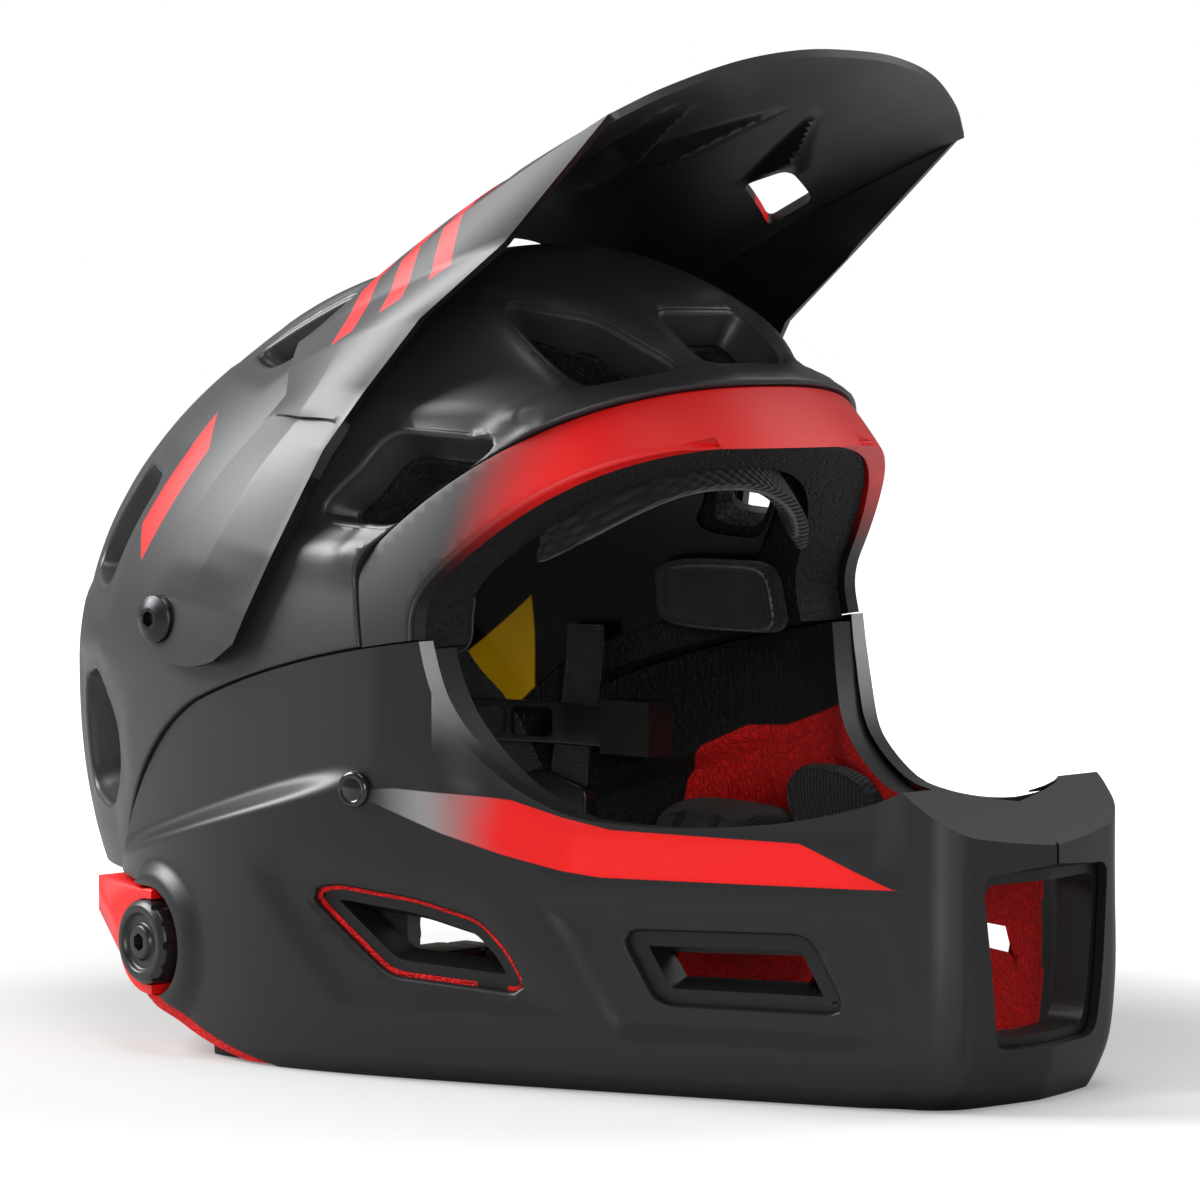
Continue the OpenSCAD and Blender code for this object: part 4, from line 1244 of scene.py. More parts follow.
def plate(name: str, outline: Array, low: float, high: float, edge: float, place: Callable) -> Piece:
    """Flat piece of a rounded outline with rounded edges.

    Args:
        name: Name of the piece.
        outline: Closed outline (a, b), its corners already rounded.
        low: Lower face.
        high: Upper face.
        edge: Radius of its edges.
        place: Moves points (a, b, height) to the helmet's frame.

    Returns:
        The piece.
    """
    away, turn = outwards(outline), quarter(4)
    steps = [(low + edge - edge * math.sin(t), edge - edge * math.cos(t)) for t in turn[::-1]]
    steps += [(high - edge + edge * math.sin(t), edge - edge * math.cos(t)) for t in turn]
    rings = [np.column_stack([outline - away * inset, np.full(len(outline), h)]) for h, inset in steps]
    return ring_loft(name, place(np.array(rings)))


PIVOT = (30.0, 133.0)
# Stations of the peak's corner, where its front edge turns back, and of the arms' upper end
PEAK_CORNER = 4
ARM_START = 7.5
HEAD_MIDDLE = np.array([0.0, -20.0, 120.0])
# Facets under the peak: corners as (station, share of the way to the front edge), and height
FACETS = (
    (((0.15, 0.23), (-1.1, 0.51), (-1.0, 0.75), (0.5, 0.35)), 5.0),
    (((1.35, 0.78), (2.35, 0.47), (2.8, 0.62)), 4.5),
)


@dataclass
class Layers:
    """The layers behind the hard shell: the foam, the slip liner and the brow trim."""

    foam_out: float = -Shell.wall - LAYER
    foam_thick: float = 24
    slip_wall: float = 1
    trim_in: float = -6.4

    def build(self, looks: Finishes) -> None:
        """Builds and dresses the layers.

        Args:
            looks: The finishes.
        """
        self.foam(looks)
        self.slip(looks)
        self.trim(looks)

    def foam(self, looks: Finishes) -> None:
        """Foam with its vents, the step for the trim and the room of the fit dial."""
        foam = solid_form("foam", self.foam_out, 160, 60)
        combine(foam, solid_form("head_room", self.foam_out - self.foam_thick, 120, 48))
        combine(foam, below_joint(-2))
        combine(foam, ahead_of(PORT_LINE, 3))
        step = ahead_of(SEAM_LINE, LINE)
        combine(step, solid_form("under_trim", self.trim_in - 2 * LAYER, 160, 60))
        combine(foam, step)
        sleeve = [(1, 8, 9), (1, -3, 3.9), (0.93, -9, 1.6), (0.9, -12, 1.0), (0.8, -13, 0), (0.72, -44, -1)]
        combine(foam, all_vents(sleeve))
        combine(foam, self.finger_room(12, 32, 8))
        for side in Side:
            combine(foam, pivot_bore(side))
        finish(foam, [looks.foam], "helmet", "foam_black", "foam_liner", angle=38)

    def slip(self, looks: Finishes) -> None:
        """Thin slick sheet inside the foam."""
        out = self.foam_out - self.foam_thick - 1
        slip = solid_form("slip", out, 120, 48)
        combine(slip, solid_form("slip_room", out - self.slip_wall, 120, 48))
        combine(slip, below_joint(8))
        combine(slip, ahead_of(PORT_LINE, 22))
        combine(slip, all_vents([(0.9, -10, 2), (0.86, -60, 0)], False))
        combine(slip, self.finger_room(20, 60, 9))
        finish(slip, [looks.yellow], "helmet", "slip_yellow", "slip_liner")

    def trim(self, looks: Finishes) -> None:
        """Band along the port's edge, its two long edges rounded."""
        trim = solid_form("trim", -LAYER, 240, 90)
        combine(trim, ahead_of(SEAM_LINE, -LINE), Join.KEEP)
        combine(trim, ahead_of(PORT_LINE))
        combine(trim, solid_form("under_trim", self.trim_in, 160, 60))
        combine(trim, below_joint(-0.2))
        for line, radius, off in ((PORT_LINE, 1.6, (0, -1, -0.6)), (SEAM_LINE - [LINE, 0], 0.8, (0, 1, 0.6))):
            path = FORM.side_path(line, 260, -LAYER)
            soften(trim, path, FORM.normal(path), radius, off)
        finish(trim, [looks.trim], "helmet", "trim_red", "brow_trim")

    def finger_room(self, ahead: float, deep: float, grow: float) -> Piece:
        """Cutter for the space of the fit dial, open to below.

        Args:
            ahead: How far ahead of the cradle it starts.
            deep: Its depth.
            grow: How far it clears the dial.

        Returns:
            The cutter.
        """
        radius = FIT_DIAL_R + grow
        turn = np.linspace(0, math.pi, 25)
        outline = np.column_stack([radius * np.cos(turn), FIT_Z + radius * np.sin(turn)])
        outline = np.vstack([outline, [(-radius, -radius), (radius, -radius)]])
        start = CRADLE_Y - ahead
        return ring_loft("finger_room", np.array([stood_at(outline, y) for y in (start, start + deep)]))


# The visor


@dataclass
class Visor:
    """The peak with its arms: one moulded sheet, creased down its arms, with facets below and two holes."""

    wall: float = 2.4
    out: float = 5.8
    half_w: float = 81
    reach: float = 158
    top: float = 304
    spans: int = 12
    across: int = 73

    def crown(self, x: float, y: float) -> list:
        """Station point over the crown."""
        return [x, y, float(FORM.z(x, y, self.out))]

    def flank(self, y: float, z: float, flare: float = 0) -> list:
        """Station point on the helmet's side."""
        return [float(FORM.x(y, z, self.out)) + flare, y, z]

    def front(self, w: float) -> list:
        """Point of the peak's front edge."""
        return [self.half_w * w, -self.reach + 22 * w**2.4, self.top - 21 * w**2.4]

    def side(self, x: float, y: float, z: float) -> list:
        """Point of the peak's side edge."""
        return [max(self.half_w + x, float(FORM.x(y, z, self.out + 2))), y, z]

    def stations(self) -> Array:
        """Rear point, front point and bow of each station, from the middle out."""
        none = [0, 0, 0]
        return np.array([
            [self.crown(0, -15), self.front(0), [0, 10, 6]],
            [self.crown(20, -14), self.front(0.27), [0, 10, 6]],
            [self.crown(40, -9), self.front(0.55), [0, 8, 7]],
            [self.crown(56, -3), self.front(0.82), [0, 3, 8]],
            [self.crown(66, 3), self.front(1), [0, -4, 6.5]],
            [self.flank(7, 218), self.side(-1, -93, 247), [3.5, -9, 5.5]],
            [self.flank(3, 210), self.side(3, -62, 225), [5, -5, 4.5]],
            [self.flank(-3, 202), self.side(9, -44, 203), [4, -2, 2.5]],
            [self.flank(4, 190), self.flank(-35, 186, 3.5), none],
            [self.flank(13, 179), self.flank(-30, 174, 1.4), none],
            [self.flank(24, 161), self.flank(-22, 154, 0.4), none],
            [self.flank(36, 143), self.flank(-14, 137), none],
            [self.flank(43, 133), self.flank(-9, 127), [0, 0, -1.5]],
            [self.flank(38, 125), self.flank(0, 121.5), [0, 0, -4]],
        ])

    def surface(self, i: Array, v: Array) -> Array:
        """Points of the outer face.

        Args:
            i: Station, negative on the right.
            v: Share of the way from the rear edge to the front edge.

        Returns:
            The points.
        """
        table = self.stations()
        last = len(table) - 1
        a = np.abs(i)
        k = np.minimum(np.floor(a).astype(int), last)
        f = (a - k)[..., None, None]
        # Curved over the peak up to its corner, straight between the stations from there down the arm
        here, ahead = table[k], table[np.minimum(k + 1, last)]
        before = np.where((k > 0)[..., None, None], table[k - 1], table[1] * [-1, 1, 1])
        curved = (k + 2 <= PEAK_CORNER)[..., None, None]
        after = np.where(curved, table[np.minimum(k + 2, last)], 2 * ahead - here)
        bend = f * (1 - f) / 2 * ((2 * here - before - ahead) * (1 - f) + (2 * ahead - here - after) * f)
        s = here * (1 - f) + ahead * f + bend * (k < PEAK_CORNER)[..., None, None]
        v = v[..., None]
        rear, lead, bow = s[..., 0, :], s[..., 1, :], s[..., 2, :]
        q = rear * (1 - v) + lead * v + 4 * v * (1 - v) * bow
        flare = (lead[..., 0] - FORM.x(lead[..., 1], lead[..., 2], self.out)) * v[..., 0] ** 2
        on_arm = np.stack([FORM.x(q[..., 1], q[..., 2], self.out) + flare, q[..., 1], q[..., 2]], axis=-1)
        middle = (rear + lead) / 2 + bow
        on_peak = (1 - v) ** 2 * rear + 2 * v * (1 - v) * middle + v**2 * lead
        p = np.where(a[..., None] > ARM_START, on_arm, on_peak)
        return p * np.stack([np.where(i < 0, -1.0, 1.0), np.ones_like(i), np.ones_like(i)], axis=-1)

    def build(self, looks: Finishes) -> None:
        """Builds and dresses the visor.

        Args:
            looks: The finishes.
        """
        last = len(self.stations()) - 1.0
        i = np.linspace(-last, last, int(2 * last * self.spans) + 1)[:, None] + np.zeros((1, self.across))
        v = np.linspace(0, 1, self.across)[None, :] + np.zeros_like(i)
        top = self.surface(i, v)
        normal = unit(np.cross(np.gradient(top, axis=1), np.gradient(top, axis=0)))
        normal[np.sum(normal * unit(top - HEAD_MIDDLE), axis=-1) < 0] *= -1
        top = top + normal * self.crest(i, v)[..., None]
        under = top - normal * (self.wall + self.swell(i, v))[..., None]
        visor = loft("visor_sheet", np.concatenate([top, under[:, ::-1], top[:, :1]], axis=1))
        for side in Side:
            combine(visor, self.hole(side))
            axis = pivot_axis(side)
            combine(visor, axis.rod("bush_hole", 70, 140, PIN.bush_r + 0.2))
            combine(visor, axis.rod("bush_seat", PIN.bush_face - 6, PIN.bush_face + 0.6, PIN.bush_r + 4))
            combine(visor, axis.rod("head_seat", PIN.head_face - 0.4, PIN.head_face + 12, PIN.head_r + 3))
        finish(visor, [looks.visor, looks.underside], "visor", "visor_plastic", "visor", angle=26)
        # Underside in its black moulding; the sheet's edges are painted black too, as the shade along the
        # arms' front edge
        mark(visor, lambda c, n: np.sum(unit(c - HEAD_MIDDLE) * n, axis=1) < 0.12)

    def crest(self, i: Array, v: Array) -> Array:
        """Height of the crease that runs down each arm.

        Args:
            i: Station, negative on the right.
            v: Share of the way from the rear edge to the front edge.

        Returns:
            Offset of the outer face.
        """
        a = np.abs(i)
        return 1.7 * smooth(a, 5, 9) * (1 - smooth(a, 10.4, 11.2)) * np.maximum(0, 1 - np.abs(v - 0.45) / 0.5)

    def swell(self, i: Array, v: Array) -> Array:
        """How far the underside stands in: flat sided facets, and the lip of the arms' front edge.

        Args:
            i: Station, negative on the right.
            v: Share of the way from the rear edge to the front edge.

        Returns:
            Extra thickness.
        """
        tall = 1.3 * smooth(np.abs(i), 7, 8) * (1 - smooth(np.abs(i), 10.4, 11.2)) * smooth(v, 0.9, 0.95)
        for corners, height in FACETS:
            for sign in (-1, 1):
                tall = np.maximum(tall, height * (1 - gauge(np.stack([i * sign, v], axis=-1), corners)))
        return tall

    def hole(self, side: Side) -> Piece:
        """Cutter of one hole in the peak, its sides upright."""
        loop = rounded([(49, -72.5), (50, -88.5), (69, -84.5), (68, -66.5)], 3, 5, True) * [side.value, 1]
        rings = [np.column_stack([loop, np.full(len(loop), z)]) for z in (200, 310)]
        return ring_loft("peak_hole", np.stack(rings))


# The chin bar


@dataclass
class ChinBar:
    """The chin bar: skin, foam, rubber base, caps and pads."""

    half_w: float = 116
    wall: float = 2.8
    foam: float = 11
    muzzle_y: float = 237
    muzzle_half: float = 34
    corner_y: float = 214

    def side_x(self, y: Array) -> Array:
        """Half width of the bar in the plan."""
        y = np.asarray(y, float)
        ahead = self.half_w + 20.5 - np.hypot(20.5, 0.42 * np.minimum(-10 - y, 1e3))
        behind = self.half_w * np.sqrt(np.maximum(0, 1 - (np.maximum(y + 10, 0) / 120) ** 2.1))
        return np.where(y < -10, ahead, behind)

    def plan(self) -> Array:
        """Plan line from the rear of the left side to the middle of the muzzle."""
        ys = np.concatenate([np.linspace(84, 20, 36), np.linspace(18, -204, 96)])
        side = np.column_stack([self.side_x(ys), ys])
        front = [(self.side_x(-214) - 1, -214), (42, -226), (34, -232), (17, -235), (0, -236.99)]
        corner = rounded([side[-1], *front], [0, 4, 3.4, 3.4, 9, 0], 6)
        return np.vstack([side[:-1], resample(corner, 44)])

    def inward(self, plan: Array) -> Array:
        """Directions into the bar at the points of its plan line."""
        tangent = unit(np.gradient(plan, axis=0))
        normal = -np.column_stack([-tangent[:, 1], tangent[:, 0]])
        ahead = -np.column_stack([plan[:, 0] * 0.75 / 42, -np.ones(len(plan))])
        share = smooth(-plan[:, 1], 205, 222)[:, None]
        return normal * (1 - share) + ahead * share

    def panel_top(self, y: Array) -> Array:
        """Height where the panel below the red band ends."""
        y = np.asarray(y, float)
        rear, front = np.minimum(100, 57 + 0.26 * (62 - y)), np.maximum(63, 91.3 - 0.55 * (-70 - y))
        return np.where(y > -70, rear, front)

    def profile(self, y: float, x: float) -> Array:
        """Cross-section of the bar's face as (inset, height) at a place of the plan.

        Args:
            y: Place along the side.
            x: Half width there.

        Returns:
            The rounded section, from below upwards.
        """
        top = float(self.panel_top(y))
        ledge = top + (5 if y > -70 else 5 + min(8, 0.2 * (-70 - y)))
        flush = min(max(0, x - float(FORM.x(y, min(top + 14, 128)))), 15)
        upper = 5 + (flush - 5) * float(smooth(y, -100, -80))
        muzzle = float(smooth(-y, 206, 220))
        upper = upper + (0.5 - upper) * muzzle
        points = [(8, -2), (5, 4), (1.5, 14), (0, 34), (0.5, top), (upper, ledge), (upper, 150)]
        crease = 2.2 + 6 * muzzle
        return rounded(points, [0, 3, 7, 12, crease, crease + 0.6, 0], 5)

    def relief(self, y: Array, z: Array) -> Array:
        """How far the sculpted side stands off its plain form."""
        spot = np.stack([y, z], axis=-1)
        deep = -2.1 * (1 - smooth(edge_distance(spot, RECESS_B), -7, 0.5)) * (1 - 0.55 * smooth(-y, 190, 222))
        deep += -1.7 * (1 - smooth(edge_distance(spot, RECESS_A), -8, 1))
        # Raised housing round the release dial
        away = np.hypot(y - DIAL[0], z - DIAL[1])
        return deep + 3.0 * (1 - smooth(away, 19.5, 25.5))

    def solid(self, name: str, d: float, relief: float = 1.0, step: int = 2) -> Piece:
        """The bar's form as a solid, d inside its outer face.

        Args:
            name: Name of the solid.
            d: Distance inside.
            relief: Share of the sculpting that it follows.
            step: Takes every so many points of the plan.

        Returns:
            The solid.
        """
        plan = self.plan()
        into = self.inward(plan)
        keep = np.unique(np.concatenate([np.arange(0, len(plan), step), [len(plan) - 1]]))
        columns = []
        for p, n in zip(plan[keep], into[keep]):
            section = refine(self.profile(p[1], p[0]), 4.0 if step == 1 else 9.0)
            columns.append(np.hstack([section, np.tile([*p, *n], (len(section), 1))]))
        inset, z, x, y, nx, ny = np.moveaxis(np.array(columns), -1, 0)
        inset = inset + d
        if relief:
            inset = inset - relief * self.relief(y, z) * (1 - smooth(-y, 214, 224))
        half = np.stack([x + inset * nx, y + inset * ny, z], axis=-1)
        half[-1, :, 0] = 0
        rings = np.concatenate([half, half[::-1][1:] * [-1, 1, 1]]).swapaxes(0, 1)
        return ring_loft(name, rings)

    def outline(self, back: float, down: float) -> Piece:
        """The bar's side view as a prism.

        Args:
            back: How far its tail is set forward.
            down: How far its upper edge is lowered.

        Returns:
            The prism.
        """
        rim = bar_rim() - [0, down]
        tail = bezier((66, 48), (58, 34), (34, 10), (-14, 0), 20) - [back, 0]
        front = [(-BEYOND, 0), (-BEYOND, 91 - 0.82 * (BEYOND - 216) - down)]
        joint = JOINT_LINE - [LINE, LINE + down]
        return prism("bar_outline", np.vstack([rim[::-1], joint[::-1], tail, front]))

    def side_point(self, y: Array, z: Array, d: Array, side: Side) -> Array:
        """Point beside the bar's side, d out of its face."""
        slope = (self.side_x(y + 1) - self.side_x(y - 1)) / 2
        n = unit(np.stack([np.ones_like(slope), -slope], axis=-1))
        x = (self.side_x(y) + d * n[..., 0]) * side.value
        return np.stack([x, y + d * n[..., 1], z + 0 * y], axis=-1)

    def plug(self, corners: Sequence, side: Side, steps: Sequence) -> Piece:
        """Solid that fills a side vent.

        Args:
            corners: Corners as (y, z).
            side: Which side.
            steps: (outwards, grown) for each ring, from outside to inside.

        Returns:
            The solid.
        """
        loop = resample(rounded(corners, 4, 7, True), 80, True)
        rings = []
        for out, grow in steps:
            spot = loop + outwards(loop) * grow
            rings.append(self.side_point(spot[:, 0], spot[:, 1], np.full(len(spot), out), side))
        return ring_loft("bar_plug", np.array(rings))

    def muzzle_plug(self, steps: Sequence) -> Piece:
        """Solid that fills the front vent.

        Args:
            steps: (outwards from the muzzle's face, grown) for each ring, from outside to inside.

        Returns:
            The solid.
        """
        rings = []
        for out, grow in steps:
            wide, narrow, low, high = 29 + grow, 23 + grow, 17 - grow, 67 + grow
            loop = rounded([(wide, high), (-wide, high), (-narrow, low), (narrow, low)], 5, 7, True)
            rings.append(stood_at(resample(loop, 80, True), -self.muzzle_y - out))
        return ring_loft("muzzle_plug", np.array(rings))

    def build(self, looks: Finishes) -> None:
        """Builds and dresses the bar's skin, foam and base.

        Args:
            looks: The finishes.
        """
        self.skin(looks)
        self.liner(looks)
        self.base(looks)

    def skin(self, looks: Finishes) -> None:
        """Skin with its vents, the flange over the foam's upper edge, and the muzzle's top plate."""
        skin = self.solid("chin_bar", 0, 1.0, 1)
        combine(skin, self.solid("bar_hollow", self.wall))
        flange = self.solid("bar_flange", LAYER)
        combine(flange, self.solid("bar_flange_room", 5.5, 0))
        top_plate = self.solid("bar_plate", LAYER)
        combine(top_plate, self.solid("bar_plate_room", 14.2, 0))
        combine(top_plate, box_solid("ahead", (-ROOM, -260, -10), (ROOM, -200, 120)), Join.KEEP)
        for part in (flange, top_plate):
            combine(part, self.outline(0, 0.6))
            combine(part, box_solid("front_half", (-ROOM, -260, 20), (ROOM, -40, 140)), Join.KEEP)
            combine(skin, part, Join.ADD)
        combine(skin, self.outline(TAIL_LIP, 0), Join.KEEP)
        for side in Side:
            combine(skin, self.plug(VENT_A, side, plug_lip(1.8)))
            combine(skin, self.plug(VENT_B, side, plug_lip(2.2)))
            combine(skin, dial_room(side, -30))
        combine(skin, self.muzzle_plug([(12, 6), (1, 3.2), (-1, 1.6), (-3, 0.4), (-6, 0), (-60, 0)]))
        # Short grooves below and above the muzzle's vent
        for low, high in ((0, 20), (66, 80)):
            combine(skin, box_solid("groove", (-0.6, -250, low), (0.6, -235.6, high)))
        finish(skin, [self.paint(), looks.painted_shade, looks.rim], "chin_bar", "shell", "chin_bar_shell", angle=28)
        # Forward faces of the edge along the port take the painted highlight
        mark(skin, lambda c, n: (n[:, 1] < -0.5) & (c[:, 2] > 94) & (c[:, 1] > -105), 2)
        # Walls of the muzzle's opening take the painted shade
        mark(skin, self.muzzle_walls)

    def liner(self, looks: Finishes) -> None:
        """Foam with its tapered openings, and its tail that stands out past the skin."""
        inner = self.wall + LAYER + self.foam
        foam = self.solid("bar_foam", self.wall + LAYER)
        combine(foam, self.solid("bar_room", inner, 0))
        tail = self.solid("foam_tail", 0.5)
        combine(tail, self.solid("tail_room", inner, 0))
        combine(tail, self.outline(TAIL_LIP - 0.4, 0))
        combine(tail, box_solid("low_rear", (-ROOM, -32, 0.5), (ROOM, 90, 54)), Join.KEEP)
        combine(foam, tail, Join.ADD)
        combine(foam, self.outline(0, 2.4), Join.KEEP)
        taper = [(10, -0.3), (-5.4, -0.3), (-5.6, -3.5), (-17, -7), (-40, -7)]
        for side in Side:
            for vent in (VENT_A, VENT_B):
                combine(foam, self.plug(vent, side, taper))
            combine(foam, dial_room(side, -38))
        combine(foam, self.muzzle_plug([(12, -3), (-60, -3)]))
        inside = BeadFoam("polystyrene_beads_red_and_black", "#FF1414", "#E01010", 2.8).make(self.black_above)
        walls = [looks.foam_red, looks.painted_shade, inside]
        finish(foam, walls, "chin_bar", "foam_red", "chin_bar_liner", angle=30)
        # Walls of the foam's openings and its upper face along the port take the painted shade
        mark(foam, self.deep_walls)
        mark(foam, self.inner_face, 2)

    def muzzle_walls(self, centre: Array, normal: Array) -> Array:
        """Which faces of the skin are the walls of the muzzle's opening."""
        across, high = np.abs(centre[:, 0]) < 36, np.abs(centre[:, 2] - 43) < 27
        return across & (centre[:, 1] < -200) & high & (normal[:, 1] > -0.9)

    def deep_walls(self, centre: Array, normal: Array) -> Array:
        """Which faces of the foam are the walls of its openings, past their outer edge."""
        y, z = centre[:, 1], centre[:, 2]
        deep = self.side_x(y) - np.abs(centre[:, 0]) > 5.5
        side = deep & (np.abs(normal[:, 0]) < 0.55) & (y < -30) & (z > 14)
        step = deep & (normal[:, 0] * centre[:, 0] > 0) & (y < -30) & (y > -205)
        # Upper face along the port, painted black so that it reads as shade
        rim = (normal[:, 2] > 0.35) & (z > 60) & (y < -30)
        return side | step | rim | ((y < -205) & (normal[:, 1] > -0.5))

    def inner_face(self, centre: Array, normal: Array) -> Array:
        """Which faces of the foam look into the helmet."""
        return (normal[:, 0] * centre[:, 0] < 0) & (np.abs(normal[:, 0]) >= 0.2) & (centre[:, 1] > -205)

    def black_above(self, look: Shader) -> Socket:
        """Share of black on the foam's inner face, above the line of the red area."""
        _, y, z = look.axes()
        line = [(-230, 120), (-93, 103.5), (-77, 99.5), (-53, 92.5), (-36, 91.5)]
        line += [(-16, 83.5), (-2, 71), (2, 53), (4, 0), (100, 0)]
        return look.past(look.math("SUBTRACT", z, look.line(y, line, -230, 100)), 0.0, 0.8)

    def base(self, looks: Finishes) -> None:
        """Rubber strip that the helmet stands on."""
        plan = self.plan()
        half, gap = 5, 7
        line = plan + self.inward(plan) * (gap + self.wall + LAYER + half)
        line = line[plan[:, 1] < 10]
        line[-1, 0] = 0
        path = resample(np.vstack([line, line[::-1][1:] * [-1, 1]]), 260)
        path = np.column_stack([path, np.full(len(path), 2.5)])
        section = rounded(oblong(-half, half, -2.5, 2.5), 1.0, 4, True)
        strip = sweep("standing_edge", path, np.tile([0.0, 0.0, 1.0], (len(path), 1)), section)
        finish(strip, [looks.rubber], "chin_bar", "base_rubber", "base_trim", angle=34)

    def paint(self) -> Material:
        """Charcoal paint, darker than the shell's as painted shade, with the red band that fades out through
        a pale grey at its rear end, the grey partly a painted highlight.

        Returns:
            The material.
        """
        look = Shader("bar_paint_band_painted_shade_and_highlight")
        _, y, z = look.axes()
        span = (-230.0, -40.0)
        under = [(-230, 63), (-132, 63.2), (-121, 64.5), (-103, 68.7), (-85, 74), (-64, 82), (-40, 84)]
        over = [(-230, 62), (-214, 63.5), (-186, 75.3), (-132, 77), (-118, 80), (-103, 84.5)]
        over += [(-88, 86), (-70, 87), (-40, 84)]
        above = look.past(look.math("SUBTRACT", z, look.line(y, under, *span)), 0.0, 0.4)
        below = look.past(look.math("SUBTRACT", look.line(y, over, *span), z), 0.0, 0.4)
        ahead = look.math("MULTIPLY", y, -1.0)
        band = look.math("MULTIPLY", above, below)
        fade = look.past(ahead, 74, 104)
        reach = look.math("MULTIPLY", fade, look.math("LESS_THAN", ahead, 217 * MM))
        # The bar's charcoal is darker than the shell's, as painted shade
        paint = reddened(look, look.math("MULTIPLY", band, reach), CHARCOAL_DARK_AND_SHADE)
        # Pale grey where the band starts: partly the band's own fade, partly a painted highlight on its face
        pale = look.math("MULTIPLY", look.past(ahead, 58, 84), look.math("SUBTRACT", 1.0, fade))
        pale = look.math("MULTIPLY", look.math("MULTIPLY", band, pale), 0.85)
        paint = look.blend(pale, paint, linear(PALE_GREY))
        # Black along the lowest 5 mm of the bar, over its lower chamfer
        return enamel(look, look.blend(look.past(z, 4.6, 5.4), linear("#080808"), paint))


TAIL_LIP = 11.0
VENT_A = ((-42, 54), (-50, 56), (-76, 53), (-95, 48), (-103, 40), (-109, 29), (-68, 32))
VENT_B = ((-139, 47), (-190, 48), (-200, 28), (-149, 28))
RECESS_B = ((-112, 57), (-213, 57), (-229, 15), (-136, 15))
RECESS_A = ((-18, 62), (-34, 68), (-96, 56), (-124, 22), (-52, 20))
DIAL = (26.0, 34.0)
DIAL_YAW = math.radians(8)
DIAL_R = 13
COLLAR_R = DIAL_R + LAYER + 3


def mark(piece: Piece, choose: Callable[[Array, Array], Array], slot: int = 1) -> None:
    """Gives some faces of a piece another of its materials.

    Args:
        piece: The piece.
        choose: Picks faces by their centres in millimetres and their normals.
        slot: The material's place.
    """
    mesh = piece.data
    table = np.empty((3, len(mesh.polygons) * 3), np.float32)
    mesh.polygons.foreach_get("center", table[0])
    mesh.polygons.foreach_get("normal", table[1])
    index = np.empty(len(mesh.polygons), np.int32)
    mesh.polygons.foreach_get("material_index", index)
    index[choose(table[0].reshape(-1, 3) / MM, table[1].reshape(-1, 3))] = slot
    mesh.polygons.foreach_set("material_index", index)
    mesh.update()


def plug_lip(radius: float) -> list:
    """Steps (outwards, grown) of a side vent's plug whose lip has a radius."""
    base, grow = -1.9, 1.0
    arc = [(base - radius + radius * math.cos(t), grow + radius - radius * math.sin(t)) for t in quarter(6)]
    outer = [(10, grow + radius + 3), (base + 0.3, grow + radius + 0.6)]
    return outer + arc + [(base - radius - 1, grow), (-30, grow)]


def refine(section: Array, step: float) -> Array:
    """Adds points to the long spans of a section, as many in every section.

    Args:
        section: Points of (inset, height).
        step: Rough size of a span, 4 being fine.

    Returns:
        The finer section.
    """
    out = [section[0]]
    for k in range(1, len(section)):
        a, b = section[k - 1], section[k]
        n = max(1, round(LONG_SPANS.get(k, 1) * 4.0 / step))
        out += [a + (b - a) * j / n for j in range(1, n + 1)]
    return np.array(out)


# Spans of a bar section between its rounded corners, and into how many parts each goes
LONG_SPANS = {7: 3, 13: 8, 19: 14, 25: 2, 31: 14}


def bar_rim() -> Array:
    """Side view line of the bar's upper edge along the port, from its rear end forwards."""
    start = np.array(LINE_FRONT) - [LINE, LINE]
    return np.vstack([
        bezier(start, (-82, 112), (-88, 92), (-118, 81), 20),
        bezier((-124, 79.5), (-150, 76), (-186, 78), (-216, 91), 20),
    ])


def box_solid(name: str, low: Sequence, high: Sequence) -> Piece:
    """Plain block used as a cutter.

    Args:
        name: Name of the block.
        low: Lowest corner.
        high: Highest corner.

    Returns:
        The block.
    """
    low, high = np.array(low, float), np.array(high, float)
    bpy.ops.object.select_all(action="DESELECT")
    bpy.ops.mesh.primitive_cube_add(size=1, location=tuple((low + high) / 2 * MM))
    piece = bpy.context.object
    piece.name = piece.data.name = name
    piece.scale = tuple((high - low) * MM)
    bpy.ops.object.transform_apply(location=True, rotation=True, scale=True)
    return piece


# Soft pads

SLIP_IN = -28.9
PAD_OUT = SLIP_IN - 1.8
Spot = Callable[[Array, Array, Array], Array]


